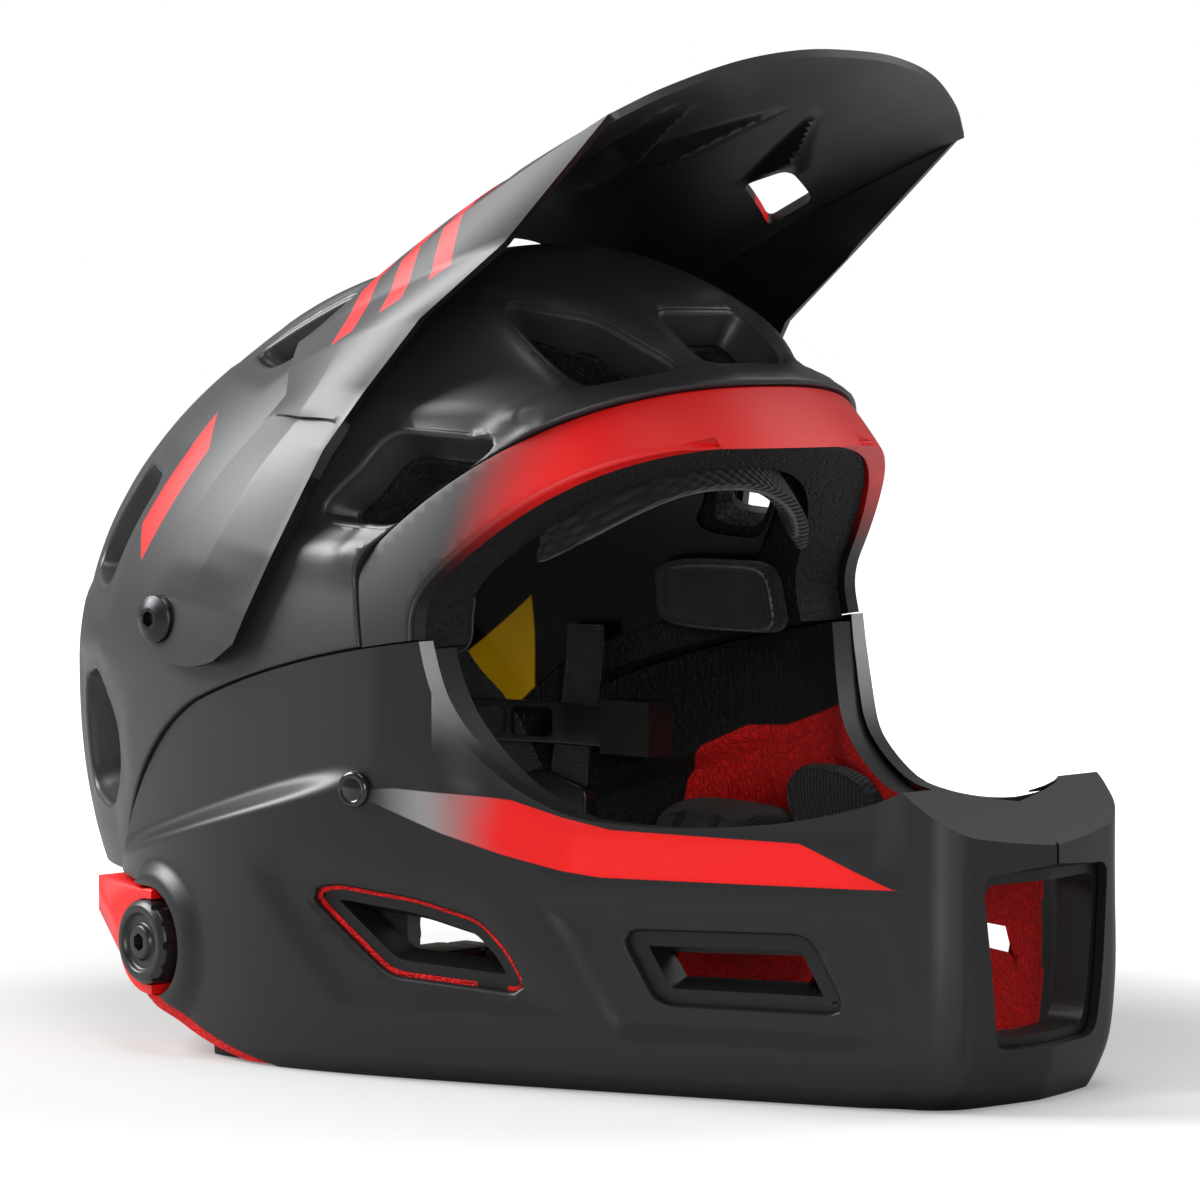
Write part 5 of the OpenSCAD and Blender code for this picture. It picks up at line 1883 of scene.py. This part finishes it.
@dataclass(frozen=True)
class Cushion:
    """A padded piece: its thickness, how square it is, its piping and its sewn channels.

    Its edge and its rise to the crown are shares of the thickness.
    """

    name: str
    thick: float
    square: float = 4.0
    piping: tuple = ()
    channels: tuple = ()
    rows: int = 30
    cols: int = 144
    edge: float = 0.14
    rise: float = 0.80

    def reach(self, turn: Array) -> Array:
        """Reach of the pad's squared outline at angles round it."""
        c, s = np.abs(np.cos(turn)), np.abs(np.sin(turn))
        return (c**self.square + s**self.square) ** (-1 / self.square)

    def crown(self, share: Array) -> Array:
        """Fullness of the pad at shares of the way from its middle to its edge."""
        return np.sqrt(np.maximum(1 - share**3.2, 0))

    def build(self, spot: Spot) -> Piece:
        """Builds the pad.

        Args:
            spot: Gives the point at u and v, each -1 to 1, and a height off the pad's seat.

        Returns:
            The pad, a crowned closed form.
        """
        share = np.sin(quarter(self.rows - 1))[:, None]
        turn = np.linspace(0, 2 * math.pi, self.cols + 1)[None, :]
        reach = self.reach(turn)
        u, v = share * reach * np.cos(turn), share * reach * np.sin(turn)
        crown = self.crown(share) + 0 * u
        height = self.thick * (self.edge + self.rise * crown)
        for place, tall in self.piping:
            height = height + tall * np.exp(-(((share - place) / 0.035) ** 2))
        for place, deep in self.channels:
            height = height - deep * crown * np.exp(-(((u - place) / 0.05) ** 2))
        # Puckers that the thread pulls in along the seam
        height = height + 0.03 * self.thick * np.sin(turn * 26) * np.exp(-(((share - 0.93) / 0.05) ** 2))
        height = np.clip(height, 0.1, self.thick)
        grid = np.concatenate([spot(u, v, height), spot(u, v, 0 * height)[::-1]])
        grid[:, -1] = grid[:, 0]
        grid[0], grid[-1] = grid[0].mean(axis=0), grid[-1].mean(axis=0)
        return loft(self.name, grid)

    def cord(self, spot: Spot, place: float) -> Piece:
        """Piping that follows the pad's seam.

        Args:
            spot: Gives the pad's points.
            place: Share of the way from the pad's middle to its edge.

        Returns:
            The cord, a closed loop.
        """
        radius = 0.9
        turn = np.linspace(0, 2 * math.pi, self.cols, endpoint=False)
        reach = place * self.reach(turn)
        u, v = reach * np.cos(turn), reach * np.sin(turn)
        top = self.thick * (self.edge + self.rise * float(self.crown(place)))
        height = np.full(self.cols, top - radius / 2)
        path = spot(u, v, height)
        around = np.linspace(0, 2 * math.pi, 8, endpoint=False)
        section = radius * np.column_stack([np.cos(around), np.sin(around)])
        return sweep("piping", path, spot(u, v, height + 1) - path, section, closed=True)


class Padding:
    """The soft pads inside the shell and inside the chin bar."""

    def sewn(self, cushion: Cushion, spot: Spot, look: Material, cord: Material) -> Piece:
        """Pad in its cloth with its piping sewn on.

        Args:
            cushion: The pad's form.
            spot: Gives the pad's points.
            look: Cloth of the pad.
            cord: Cloth of the piping.

        Returns:
            The pad as one object.
        """
        pieces = [cushion.build(spot), *(cushion.cord(spot, place) for place, _ in cushion.piping)]
        for piece in pieces:
            shade(piece, 60)
            dress(piece, look if piece is pieces[0] else cord)
        return joined(cushion.name, pieces)

    def on_form(self, b0: float, b1: float, low: float, high: float, bow: float) -> Spot:
        """Places a pad on the inside of the form, over spans of bearing and height angle."""

        def spot(u: Array, v: Array, height: Array) -> Array:
            """Point of the pad."""
            bearing = (b0 + b1) / 2 + (b1 - b0) / 2 * u * (1 - 0.04 * (1 - np.abs(v)))
            lift = (low + high) / 2 + (high - low) / 2 * v - bow * u * u
            return FORM.point(bearing, lift, PAD_OUT - height)

        return spot

    def on_crown(self, x0: float) -> Spot:
        """Places a strip along the crown, x0 off the middle."""

        def spot(u: Array, v: Array, height: Array) -> Array:
            """Point of the strip."""
            x, y = x0 - 11 * v, 4 + (60 - abs(x0) / 3) * u
            return np.stack([x, y, FORM.z(x, y, PAD_OUT) - height], axis=-1)

        return spot

    def in_bar(self, y0: float, y1: float, z0: float, z1: float, lean: float, seat: float) -> Spot:
        """Places a pad on the inside of the chin bar's left side."""
        bar = ChinBar()
        base = -bar.wall - bar.foam - 2 * LAYER - seat

        def spot(u: Array, v: Array, height: Array) -> Array:
            """Point of the pad."""
            y, z = (y0 + y1) / 2 + (y1 - y0) / 2 * u, (z0 + z1) / 2 + (z1 - z0) / 2 * v
            return bar.side_point(y, z, base - lean * (v + 1) / 2 - height, Side.LEFT)

        return spot

    def both(self, piece: Piece, name: str) -> Piece:
        """The piece and its copy on the other side as one object."""
        return joined(name, [piece, mirrored(piece, name + "_right")])

    def build(self, looks: Finishes) -> None:
        """Builds and dresses every pad.

        Args:
            looks: The finishes.
        """
        cord, cloth = looks.cord, looks.cloth
        brow = Cushion("brow_padding", 7, 5, ((0.9, 1.0), (0.66, 1.0)), (), 44, 240)
        temple = Cushion("temple", 6, 4, ((0.86, 0.9),))
        crown = Cushion("crown", 6, 5, ((0.82, 0.9),), ((-0.45, 1.6), (0.0, 1.6), (0.45, 1.6)))
        cheek = Cushion("cheek", 25, 5, ((0.86, 1.4),), ((-0.34, 2.2), (0.34, 2.2)), 36)
        mesh = Cushion("mesh", 5, 2.4, ((0.9, 1.0),))
        nape = Cushion("nape_padding", 7, 4, ((0.84, 1.0),), ((0.0, 1.4),))
        sides = self.sewn(temple, self.on_form(342, 368, 6, 20, 0), cloth, cord)
        cheeks = self.sewn(cheek, self.in_bar(-67, 4, 17, 66, 0, 1.6), cloth, cloth)
        ovals = self.sewn(mesh, self.in_bar(-122, -64, 55, 83, 4.4, 0.7), looks.mesh, looks.cloth)
        strips = [self.sewn(crown, self.on_crown(x), cloth, cord) for x in (-36, 0, 36)]
        front = self.sewn(brow, self.on_form(210, 330, 37, 50, 17), looks.mesh, cord)
        for piece, body, node, fill in (
            (front, "helmet", "brow_pad", 0.6),
            (self.both(sides, "temple_padding"), "helmet", "temple_pads", 0.6),
            (joined("crown_padding", strips), "helmet", "crown_pads", 0.6),
            (self.both(cheeks, "cheek_padding"), "chin_bar", "cheek_pads", 0.8),
            (self.both(ovals, "mesh_padding"), "chin_bar", "mesh_pads", 0.5),
            (self.sewn(nape, self.at_nape, cloth, cord), "fit_cradle", "nape_pad", 0.6),
        ):
            settle(piece, body, "pad", node, pad=fill)

    def at_nape(self, u: Array, v: Array, height: Array) -> Array:
        """Point of the pad on the cradle's plate."""
        return np.stack(np.broadcast_arrays(22 * u, CRADLE_Y - LAYER - height, 88 + 8 * v), axis=-1)


# Screws, dials and collars


@dataclass(frozen=True)
class PivotPin:
    """Sizes of the visor's screw, bush and insert along the pivot."""

    screw_r: float = 3
    head_r: float = 5.6
    bush_r: float = 7
    deep: float = 10
    insert_face: float = float(FORM.x(np.array(PIVOT[0]), np.array(PIVOT[1]))) + 1

    @property
    def bush_face(self) -> float:
        """Inner face of the bush."""
        return self.insert_face + 0.2

    @property
    def bush_h(self) -> float:
        """Length of the bush."""
        return 6.0

    @property
    def head_face(self) -> float:
        """Inner face of the screw's head."""
        return self.bush_face + self.bush_h + 0.15


PIN = PivotPin()
CRADLE_Y = 99.1
FIT_Z = 66.0
FIT_DIAL_R = 16
BAND_Z = 84.0
# Width and thickness of the webbing, and half the room of its slots
WEB_W, WEB_T = 16, 1.6
SLOT_W, SLOT_T = 8.3, 1.1


def closed_on_axis(low: float, face: Array, high: float) -> Array:
    """Profile of a round piece that starts and ends on its axis, at two heights."""
    return np.vstack([(0, low), face, (0, high)])


class Fittings:
    """The round pieces: pivots, release dials with their collars, and the caps."""

    def build(self, looks: Finishes) -> None:
        """Builds and dresses the fittings on both sides.

        Args:
            looks: The finishes.
        """
        for side in Side:
            tag = side.name.lower()
            self.pivot(looks, side, tag)
            self.dial(looks, side, tag)
            self.collar(looks, side, tag)
        self.caps(looks)

    def pivot(self, looks: Finishes, side: Side, tag: str) -> None:
        """Screw with its domed head and socket, and the bush that the arm turns on."""
        axis = pivot_axis(side)
        head, r, wide = PIN.head_face, PIN.screw_r, PIN.head_r
        dome = rounded([(wide + 2, 0), (wide + 1.8, 1.2), (wide - 1, 2.7), (3.4, 3.2), (3.0, 3.2)], 0.7, 4)
        tip = PIN.insert_face - PIN.deep - head
        profile = closed_on_axis(tip, np.vstack([(r - 0.5, tip), (r, tip + 0.6), (r, 0), dome]), 3.2)
        screw = axis.turned("pivot_screw_" + tag, profile + [0, head])
        combine(screw, axis.rod("socket", head + 1.2, head + 6, r * 0.86, 6))
        finish(screw, [looks.screw], "helmet", "screw_metal", "visor_screw_" + tag, angle=30)
        ring = rounded(oblong(r + 0.05, PIN.bush_r, PIN.bush_face, PIN.bush_face + PIN.bush_h), 0.4, 3, True)
        bush = axis.turned("pivot_bush_" + tag, np.vstack([ring, ring[:1]]))
        finish(bush, [looks.black], "visor", "black_plastic", "visor_bush_" + tag)

    def dial(self, looks: Finishes, side: Side, tag: str) -> None:
        """Release dial: dished face, raised rim with finger grips and a socket in the middle."""
        axis = dial_axis(side)
        rim = [(4, -11), (4, -1.4), (12.2, -1.4), (DIAL_R, -0.6), (DIAL_R, 5.4), (11.4, 7)]
        face = rounded(rim + [(9.2, 7), (8.4, 5.4), (5.8, 5.4), (5.0, 7), (3.4, 7)], 0.6, 4)
        dial = axis.turned("side_dial_" + tag, closed_on_axis(-11, face, 7), 96)
        for k in range(6):
            combine(dial, axis.beside(14.2, 30 + 60 * k).rod("grip", 1, 12, 2, 24))
            combine(dial, axis.beside(14.2, 60 * k).rod("flute", 2.5, 12, 1.6, 20))
        combine(dial, axis.rod("hex", 4.6, 9, 2.9, 6))
        finish(dial, [looks.black], "dial_" + tag, "black_plastic", "release_dial_" + tag, angle=34)

    def collar(self, looks: Finishes, side: Side, tag: str) -> None:
        """Red collar that hugs the dial from behind, with its foot on the shell."""
        axis = dial_axis(side)
        low, high = -8, 4
        edge = [(0, low), (COLLAR_R, low), (COLLAR_R, high), (COLLAR_R - 1.2, high), (0, high)]
        collar = axis.turned("side_collar_" + tag, rounded(edge, [0, 0.8, 1.0, 0.4, 0], 4), 96)
        x = axis.origin[0] * side.value
        box = [(a, b, c) for a in (x - 34, x - 14) for b in (58, 70) for c in (38.7, 49.7)]
        corners = np.array(box) * [side.value, 1, 1]
        rear = [axis.ring(COLLAR_R - 1, h, 48, 6) for h in (low, -1)]
        combine(collar, hulled("collar_foot", np.vstack([*rear, corners])), Join.ADD)
        combine(collar, axis.rod("dial_room", -20, 40, DIAL_R + LAYER, 96))
        near, far = sorted([side.value * (x - 40), side.value * (x + 40)])
        mouth = DIAL_R + LAYER
        combine(collar, box_solid("mouth", (near, -54, DIAL[1] - mouth), (far, DIAL[0], DIAL[1] + mouth)))
        combine(collar, box_solid("front", (near, -54, -5), (far, DIAL[0] - 2, 85)))
        finish(collar, [looks.red], "helmet", "trim_red", "release_collar_" + tag, angle=34)

    def caps(self, looks: Finishes) -> None:
        """Round glossy caps beside the port."""
        y, z, turn = -58, 86, math.radians(10)
        x = float(ChinBar().side_x(y))
        face = rounded([(5.4, -0.4), (5.4, 0.8), (4.7, 1.5), (3.9, 1.5), (3.4, 1.2)], 0.35, 3)
        profile = closed_on_axis(-0.4, np.vstack([face, (2, 1.5)]), 1.65)
        made = []
        for side in Side:
            axis = Axis((x * side.value, y, z), (math.cos(turn) * side.value, -math.sin(turn), 0))
            made.append(axis.turned("cap", profile, 64))
        finish(joined("port_caps", made), [looks.gloss], "chin_bar", "black_plastic", "bar_rivets", angle=34)


# Fit band and chin strap


def webbing(name: str, points: Sequence, across: Sequence) -> Piece:
    """Flat webbing along a route, its width lying along one direction.

    Args:
        name: Name of the piece.
        points: Corners of the route.
        across: Direction of its width.

    Returns:
        The webbing.
    """
    path = resample(rounded(points, 6, 6), max(24, len(points) * 14))
    flat = unit(np.cross(unit(np.gradient(path, axis=0)), np.asarray(across, float)))
    section = rounded(oblong(-WEB_W / 2, WEB_W / 2, -WEB_T / 2, WEB_T / 2), 0.7, 3, True)
    return sweep(name, path, flat, section)


@dataclass
class FitBand:
    """The band round the back of the head with its cradle, pad and dial."""

    half_x: float = 71.1
    reach: float = 147.1
    bend_y: float = 22
    tall: float = 14
    thick: float = 1.8

    def line(self, inset: float) -> Array:
        """Plan line from the end of the left arm round the back to the right one."""
        low = math.asin(((self.bend_y - FORM.belt_y) / self.reach) ** (FORM.plan_p / 2))
        a = np.linspace(low, math.pi - low, 81)
        x = (self.half_x - inset) * signed_pow(np.cos(a), 2 / FORM.plan_p)
        y = FORM.belt_y + (self.reach - inset) * np.sin(a) ** (2 / FORM.plan_p)
        arm = np.column_stack([np.full(12, x[0]), np.linspace(-8, 20, 12)])
        return np.vstack([arm, np.column_stack([x, y]), arm[::-1] * [-1, 1]])

    def build(self, looks: Finishes) -> None:
        """Builds and dresses the cradle and its dial.

        Args:
            looks: The finishes.
        """
        half, tall = self.thick / 2, self.tall / 2
        path = resample(self.line(half), 170)
        path = np.column_stack([path, np.full(len(path), BAND_Z + tall)])
        up = np.tile([0.0, 0.0, 1.0], (len(path), 1))
        band = sweep("nape_band", path, up, rounded(oblong(-half, half, -tall, tall), 0.6, 3, True))
        # Slots that lighten the band on both sides
        for sign in (-1, 1):
            for y in (34, 52, 70):
                slot = rounded(oblong(y - 8, y + 8, -5, 5), 2.2, 5, True)
                combine(band, plate("slot", slot, 20, 90, 0.3, lambda p, s=sign: self.beside(p, s)))
        corners = [(-24, 97.6), (24, 97.6), (24, 62), (15, 46.4), (-15, 46.4), (-24, 62)]
        outline = resample(rounded(corners, [5, 5, 9, 10, 10, 9], 8, True), 120, True)
        face = plate("cradle_plate", outline, CRADLE_Y, CRADLE_Y + 5, 1.2, self.upright)
        outline = rounded(oblong(-14, 14, 84.2, 97.8), 2, 4, True)
        block = plate("cradle_block", outline, CRADLE_Y + 1, CRADLE_Y + 7.4, 0.8, self.upright)
        combine(face, block, Join.ADD)
        combine(band, face, Join.ADD)
        axis = Axis((0, CRADLE_Y, FIT_Z), (0, 1, 0))
        combine(band, axis.rod("spindle_bore", -1, 11, 4.05))
        finish(band, [looks.black], "fit_cradle", "black_plastic", "rear_cradle", angle=34)
        hub = [(4, -1.6), (6, -1.6), (6, -0.2), (4, -0.2), (4, 5.2)]
        knob = [(FIT_DIAL_R, 5.2), (FIT_DIAL_R, 13.2), (13.6, 13.2), (12.4, 11.8), (0.5, 11.8)]
        dial = axis.turned("nape_dial", closed_on_axis(-1.6, rounded(hub + knob, 0.5, 3), 11.8), 96)
        for k in range(12):
            combine(dial, axis.beside(17, 30 * k).rod("grip", 4, 16, 2.2, 20))
        finish(dial, [looks.rubber], "fit_dial", "black_plastic", "fit_dial", angle=34)

    def upright(self, points: Array) -> Array:
        """Points (x, z, y) moved to the helmet's frame."""
        return np.stack([points[..., 0], points[..., 2], points[..., 1]], axis=-1)

    def beside(self, points: Array, sign: int) -> Array:
        """Points (y, z off the band's middle, x) moved to one side of the band."""
        z = points[..., 1] + BAND_Z + self.tall / 2
        return np.stack([points[..., 2] * sign, points[..., 0], z], axis=-1)


@dataclass
class ChinStrap:
    """The straps with their dividers and buckle."""

    buckle_z: float = 20
    chin_y: float = 6
    tail_end: float = 40
    travel: float = 14
    divider_y: float = 20

    def build(self, looks: Finishes) -> None:
        """Builds and dresses the straps, dividers and buckle.

        Args:
            looks: The finishes.
        """
        strap_x = float(FitBand().line(0)[0, 0]) + 3.2
        divider_x = strap_x - 3.8
        anchor = np.array([strap_x, 16.0, 118.0])
        rear = np.array([55.4, 66.0, 112.0])
        front_leg = np.array([
            anchor + [0, 0, 6], anchor, (strap_x - 0.7, 18, 98), (strap_x - 1.7, 20, 85),
            (divider_x, 20, 77), (divider_x, 20, 48), (64.5, 14, 40),
        ])
        rear_leg = np.array([
            rear + [-0.3, 4, 5], rear, rear + [0.4, -6.5, -8], (63, 52, 93),
            (divider_x, *DIVIDER_TOP), (divider_x, *DIVIDER_FOOT),
        ])
        y, z, end = self.chin_y, self.buckle_z, self.tail_end
        below = z - WEB_T - 1
        left = [
            (end + self.travel + 8, 8, z + 8), (end + self.travel + 5, y, z - 1.2),
            (end + self.travel + 2, y, below), (end - 10, y, below),
        ]
        right = [(-60, 9, 30), (-50, y, z + 1), (-46, y, z), (-21, y, z)]
        flip = [-1, 1, 1]
        straps = joined("chin_webbing", [
            webbing("left_run", [*front_leg, *left], (0, 1, 0)),
            webbing("right_run", [*front_leg * flip, *right], (0, 1, 0)),
            webbing("rear_left", rear_leg, (0, 0.78, -0.62)),
            webbing("rear_right", rear_leg * flip, (0, 0.78, -0.62)),
        ])
        tail = webbing("webbing_end", [(7, y, z), (end / 2, y, z), (end, y, z)], (0, 1, 0))
        finish(straps, [looks.webbing], "helmet", "webbing", "straps", angle=50)
        finish(tail, [looks.webbing], "buckle_slide", "webbing", "strap_tail", angle=50)
        self.dividers(looks, divider_x)
        self.buckle(looks)

    def dividers(self, looks: Finishes, x: float) -> None:
        """Plates below the ears with a slot for each strap."""
        outline = rounded([(9.5, 49), (30.5, 49), (50, 62), (46, 70), (31, 75.5), (9.5, 70)], 3, 5, True)
        outline = resample(outline, 96, True)
        piece = plate("ear_divider", outline, x - 3.5, x + 2.7, 1.0, lambda p: np.roll(p, 1, axis=-1))
        combine(piece, box_solid("front_slot", (x - SLOT_T, 20 - SLOT_W, 44), (x + SLOT_T, 20 + SLOT_W, 84)))
        foot = np.array([x, *DIVIDER_FOOT], float)
        along = np.array([0, *unit(np.array(DIVIDER_TOP) - DIVIDER_FOOT)])
        wide = np.array([0, along[2], -along[1]])
        spots = [
            foot + [a, 0, 0] + wide * b + along * c
            for a in (-SLOT_T, SLOT_T) for b in (-SLOT_W, SLOT_W) for c in (-0.3, 30)
        ]
        combine(piece, hulled("rear_slot", np.array(spots)))
        both = joined("ear_dividers", [piece, mirrored(piece, "ear_divider_right")])
        finish(both, [looks.black], "helmet", "black_plastic", "strap_dividers", angle=34)

    def buckle(self, looks: Finishes) -> None:
        """Catch on the right strap and the tongue that plugs into it."""
        middle = np.array([0, self.chin_y, self.buckle_z])

        def block(name: str, x0: float, x1: float, tall: float, round_by: float) -> Piece:
            """Rounded block of the buckle between x0 and x1."""
            outline = rounded(oblong(x0, x1, -10.5, 10.5), round_by, 6, True)
            return plate(name, outline, -tall, tall, min(1.4, round_by / 2), lambda p: p + middle)

        def box(name: str, x0: float, x1: float, y0: float, y1: float, tall: float) -> Piece:
            """Plain block, its place measured from the buckle's middle."""
            return box_solid(name, middle + [x0, y0, -tall], middle + [x1, y1, tall])

        catch = block("buckle_housing", -27, 2, 4, 4)
        combine(catch, box("web_slot", -28, -20, -SLOT_W, SLOT_W, SLOT_T))
        combine(catch, box("socket", -15, 5, -SLOT_W, SLOT_W, 1.8))
        combine(catch, box("window", -12, -4, -21, 21, 1.8))
        tongue = block("buckle_plug", 2.4, 13.4, 3.5, 3)
        for x0, y0, y1 in ((-11, 5, 8), (-11, -8, -5), (-14, -2, 2)):
            combine(tongue, box("prong", x0, 3, y0, y1, 1.5), Join.ADD)
        combine(tongue, box("web_slot", 6, 18, -SLOT_W, SLOT_W, SLOT_T))
        finish(catch, [looks.black], "helmet", "black_plastic", "buckle_catch", angle=34)
        finish(tongue, [looks.black], "buckle_slide", "black_plastic", "buckle_tongue", angle=34)


# Ends of the slot for the rear strap, as (y, z)
DIVIDER_TOP, DIVIDER_FOOT = (42, 74.7), (37, 66)


def dress_frame(looks: Finishes) -> None:
    """Gives the solids that stay as they are their finishes."""
    for names, look in (
        (("fit_guides", "strap_anchors", "dial_bearing_left", "dial_bearing_right"), looks.black),
        (("visor_insert_left", "visor_insert_right"), looks.brass),
    ):
        for name in names:
            for slot in bpy.data.objects[name].material_slots:
                slot.material = look
            log.info("%s keeps its solid", name)


# The studio

# Strength of the world for plain light, and what reflections see on top of it
GLOW = 0.06
MIRRORED = 0.22


class Studio:
    """Floor, lights, world and the camera that stands where the photo was taken."""

    def build(self) -> None:
        """Builds the studio."""
        self.camera()
        self.world()
        self.floor()
        self.lamps()
        bpy.context.scene.view_settings.view_transform = "Standard"

    def stand(self, name: str, data: bpy.types.ID, place: Sequence) -> Piece:
        """Puts a camera or a lamp in its place."""
        made = bpy.data.objects.new(name, data)
        made.location = place
        bpy.context.scene.collection.objects.link(made)
        return made

    def camera(self) -> None:
        """Puts up the camera: 138 mm lens, 46.75 degrees round to the right, 3.13 up."""
        data = bpy.data.cameras.new("camera")
        data.lens, data.sensor_width = 138, 36
        cam = self.stand("camera", data, (-1.04442, -1.038961, 0.216107))
        a, e = math.radians(-46.75), math.radians(3.13)
        back = Vector((math.sin(a) * math.cos(e), -math.cos(a) * math.cos(e), math.sin(e)))
        cam.rotation_euler = (-back).to_track_quat("-Z", "Y").to_euler()
        bpy.context.scene.camera = cam

    def world(self) -> None:
        """White backdrop for the eye, a grey one for reflections and a dim one for light."""
        world = bpy.data.worlds.new("world")
        bpy.context.scene.world = world
        world.use_nodes = True
        nodes = Nodes(world.node_tree)
        strength: object = GLOW
        for kind, share in (("Camera", 1 - GLOW), ("Transmission", 1 - GLOW), ("Glossy", MIRRORED)):
            strength = nodes.math("MULTIPLY_ADD", nodes.rays(kind), share, strength)
        sky = world.node_tree.nodes["Background"]
        nodes.put(sky.inputs["Color"], WHITE)
        nodes.put(sky.inputs["Strength"], strength)

    def floor(self) -> None:
        """Pale floor that keeps the helmet's shadow and glows further out, as in the photo."""
        bpy.ops.object.select_all(action="DESELECT")
        bpy.ops.mesh.primitive_plane_add(size=9, location=(0, 0, -0.0002))
        floor = bpy.context.object
        floor.name = "floor"
        look = Shader("studio_floor")
        look.set(Base_Color=toned(WHITE, 0.5), Roughness=0.9, Emission_Color=WHITE)
        x, y, _ = look.axes()
        away = look.math("SQRT", look.math("ADD", look.math("MULTIPLY", x, x), look.math("MULTIPLY", y, y)))
        glow = look.math("MULTIPLY_ADD", look.ramp(away, 0.2, 0.46), 0.9, 0.2)
        look.set(Emission_Strength=look.math("MULTIPLY", look.rays("Camera"), glow))
        dress(floor, look.material)

    def lamps(self) -> None:
        """Soft boxes: a broad key from behind on the left of the picture, a top light and weak fills."""
        for name, place, aim, size, power in (
            ("key", (-1.2, 1.9, 1.8), (0, 0, 0.15), (1.5, 1.5), 120),
            ("top", (0.1, -0.3, 2.2), (0, 0, 0.15), (1.1, 1.1), 24),
            ("front", (-1.3, -1.7, 0.5), (0, 0, 0.12), (0.8, 0.8), 15),
            ("rim", (1.7, -0.9, 1.3), (0, 0, 0.2), (0.8, 1.2), 10),
        ):
            data = bpy.data.lights.new(name, "AREA")
            data.shape, data.size, data.size_y, data.energy = "RECTANGLE", *size, power
            lamp = self.stand(name, data, place)
            lamp.rotation_euler = (Vector(place) - Vector(aim)).to_track_quat("Z", "Y").to_euler()


def main() -> None:
    """Builds every piece in order."""
    logging.basicConfig(level=logging.INFO, format="%(message)s")
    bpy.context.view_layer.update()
    looks = Finishes()
    Studio().build()
    Shell().build(looks)
    Layers().build(looks)
    Visor().build(looks)
    ChinBar().build(looks)
    Padding().build(looks)
    Fittings().build(looks)
    FitBand().build(looks)
    ChinStrap().build(looks)
    dress_frame(looks)


if __name__ == "__main__":
    main()
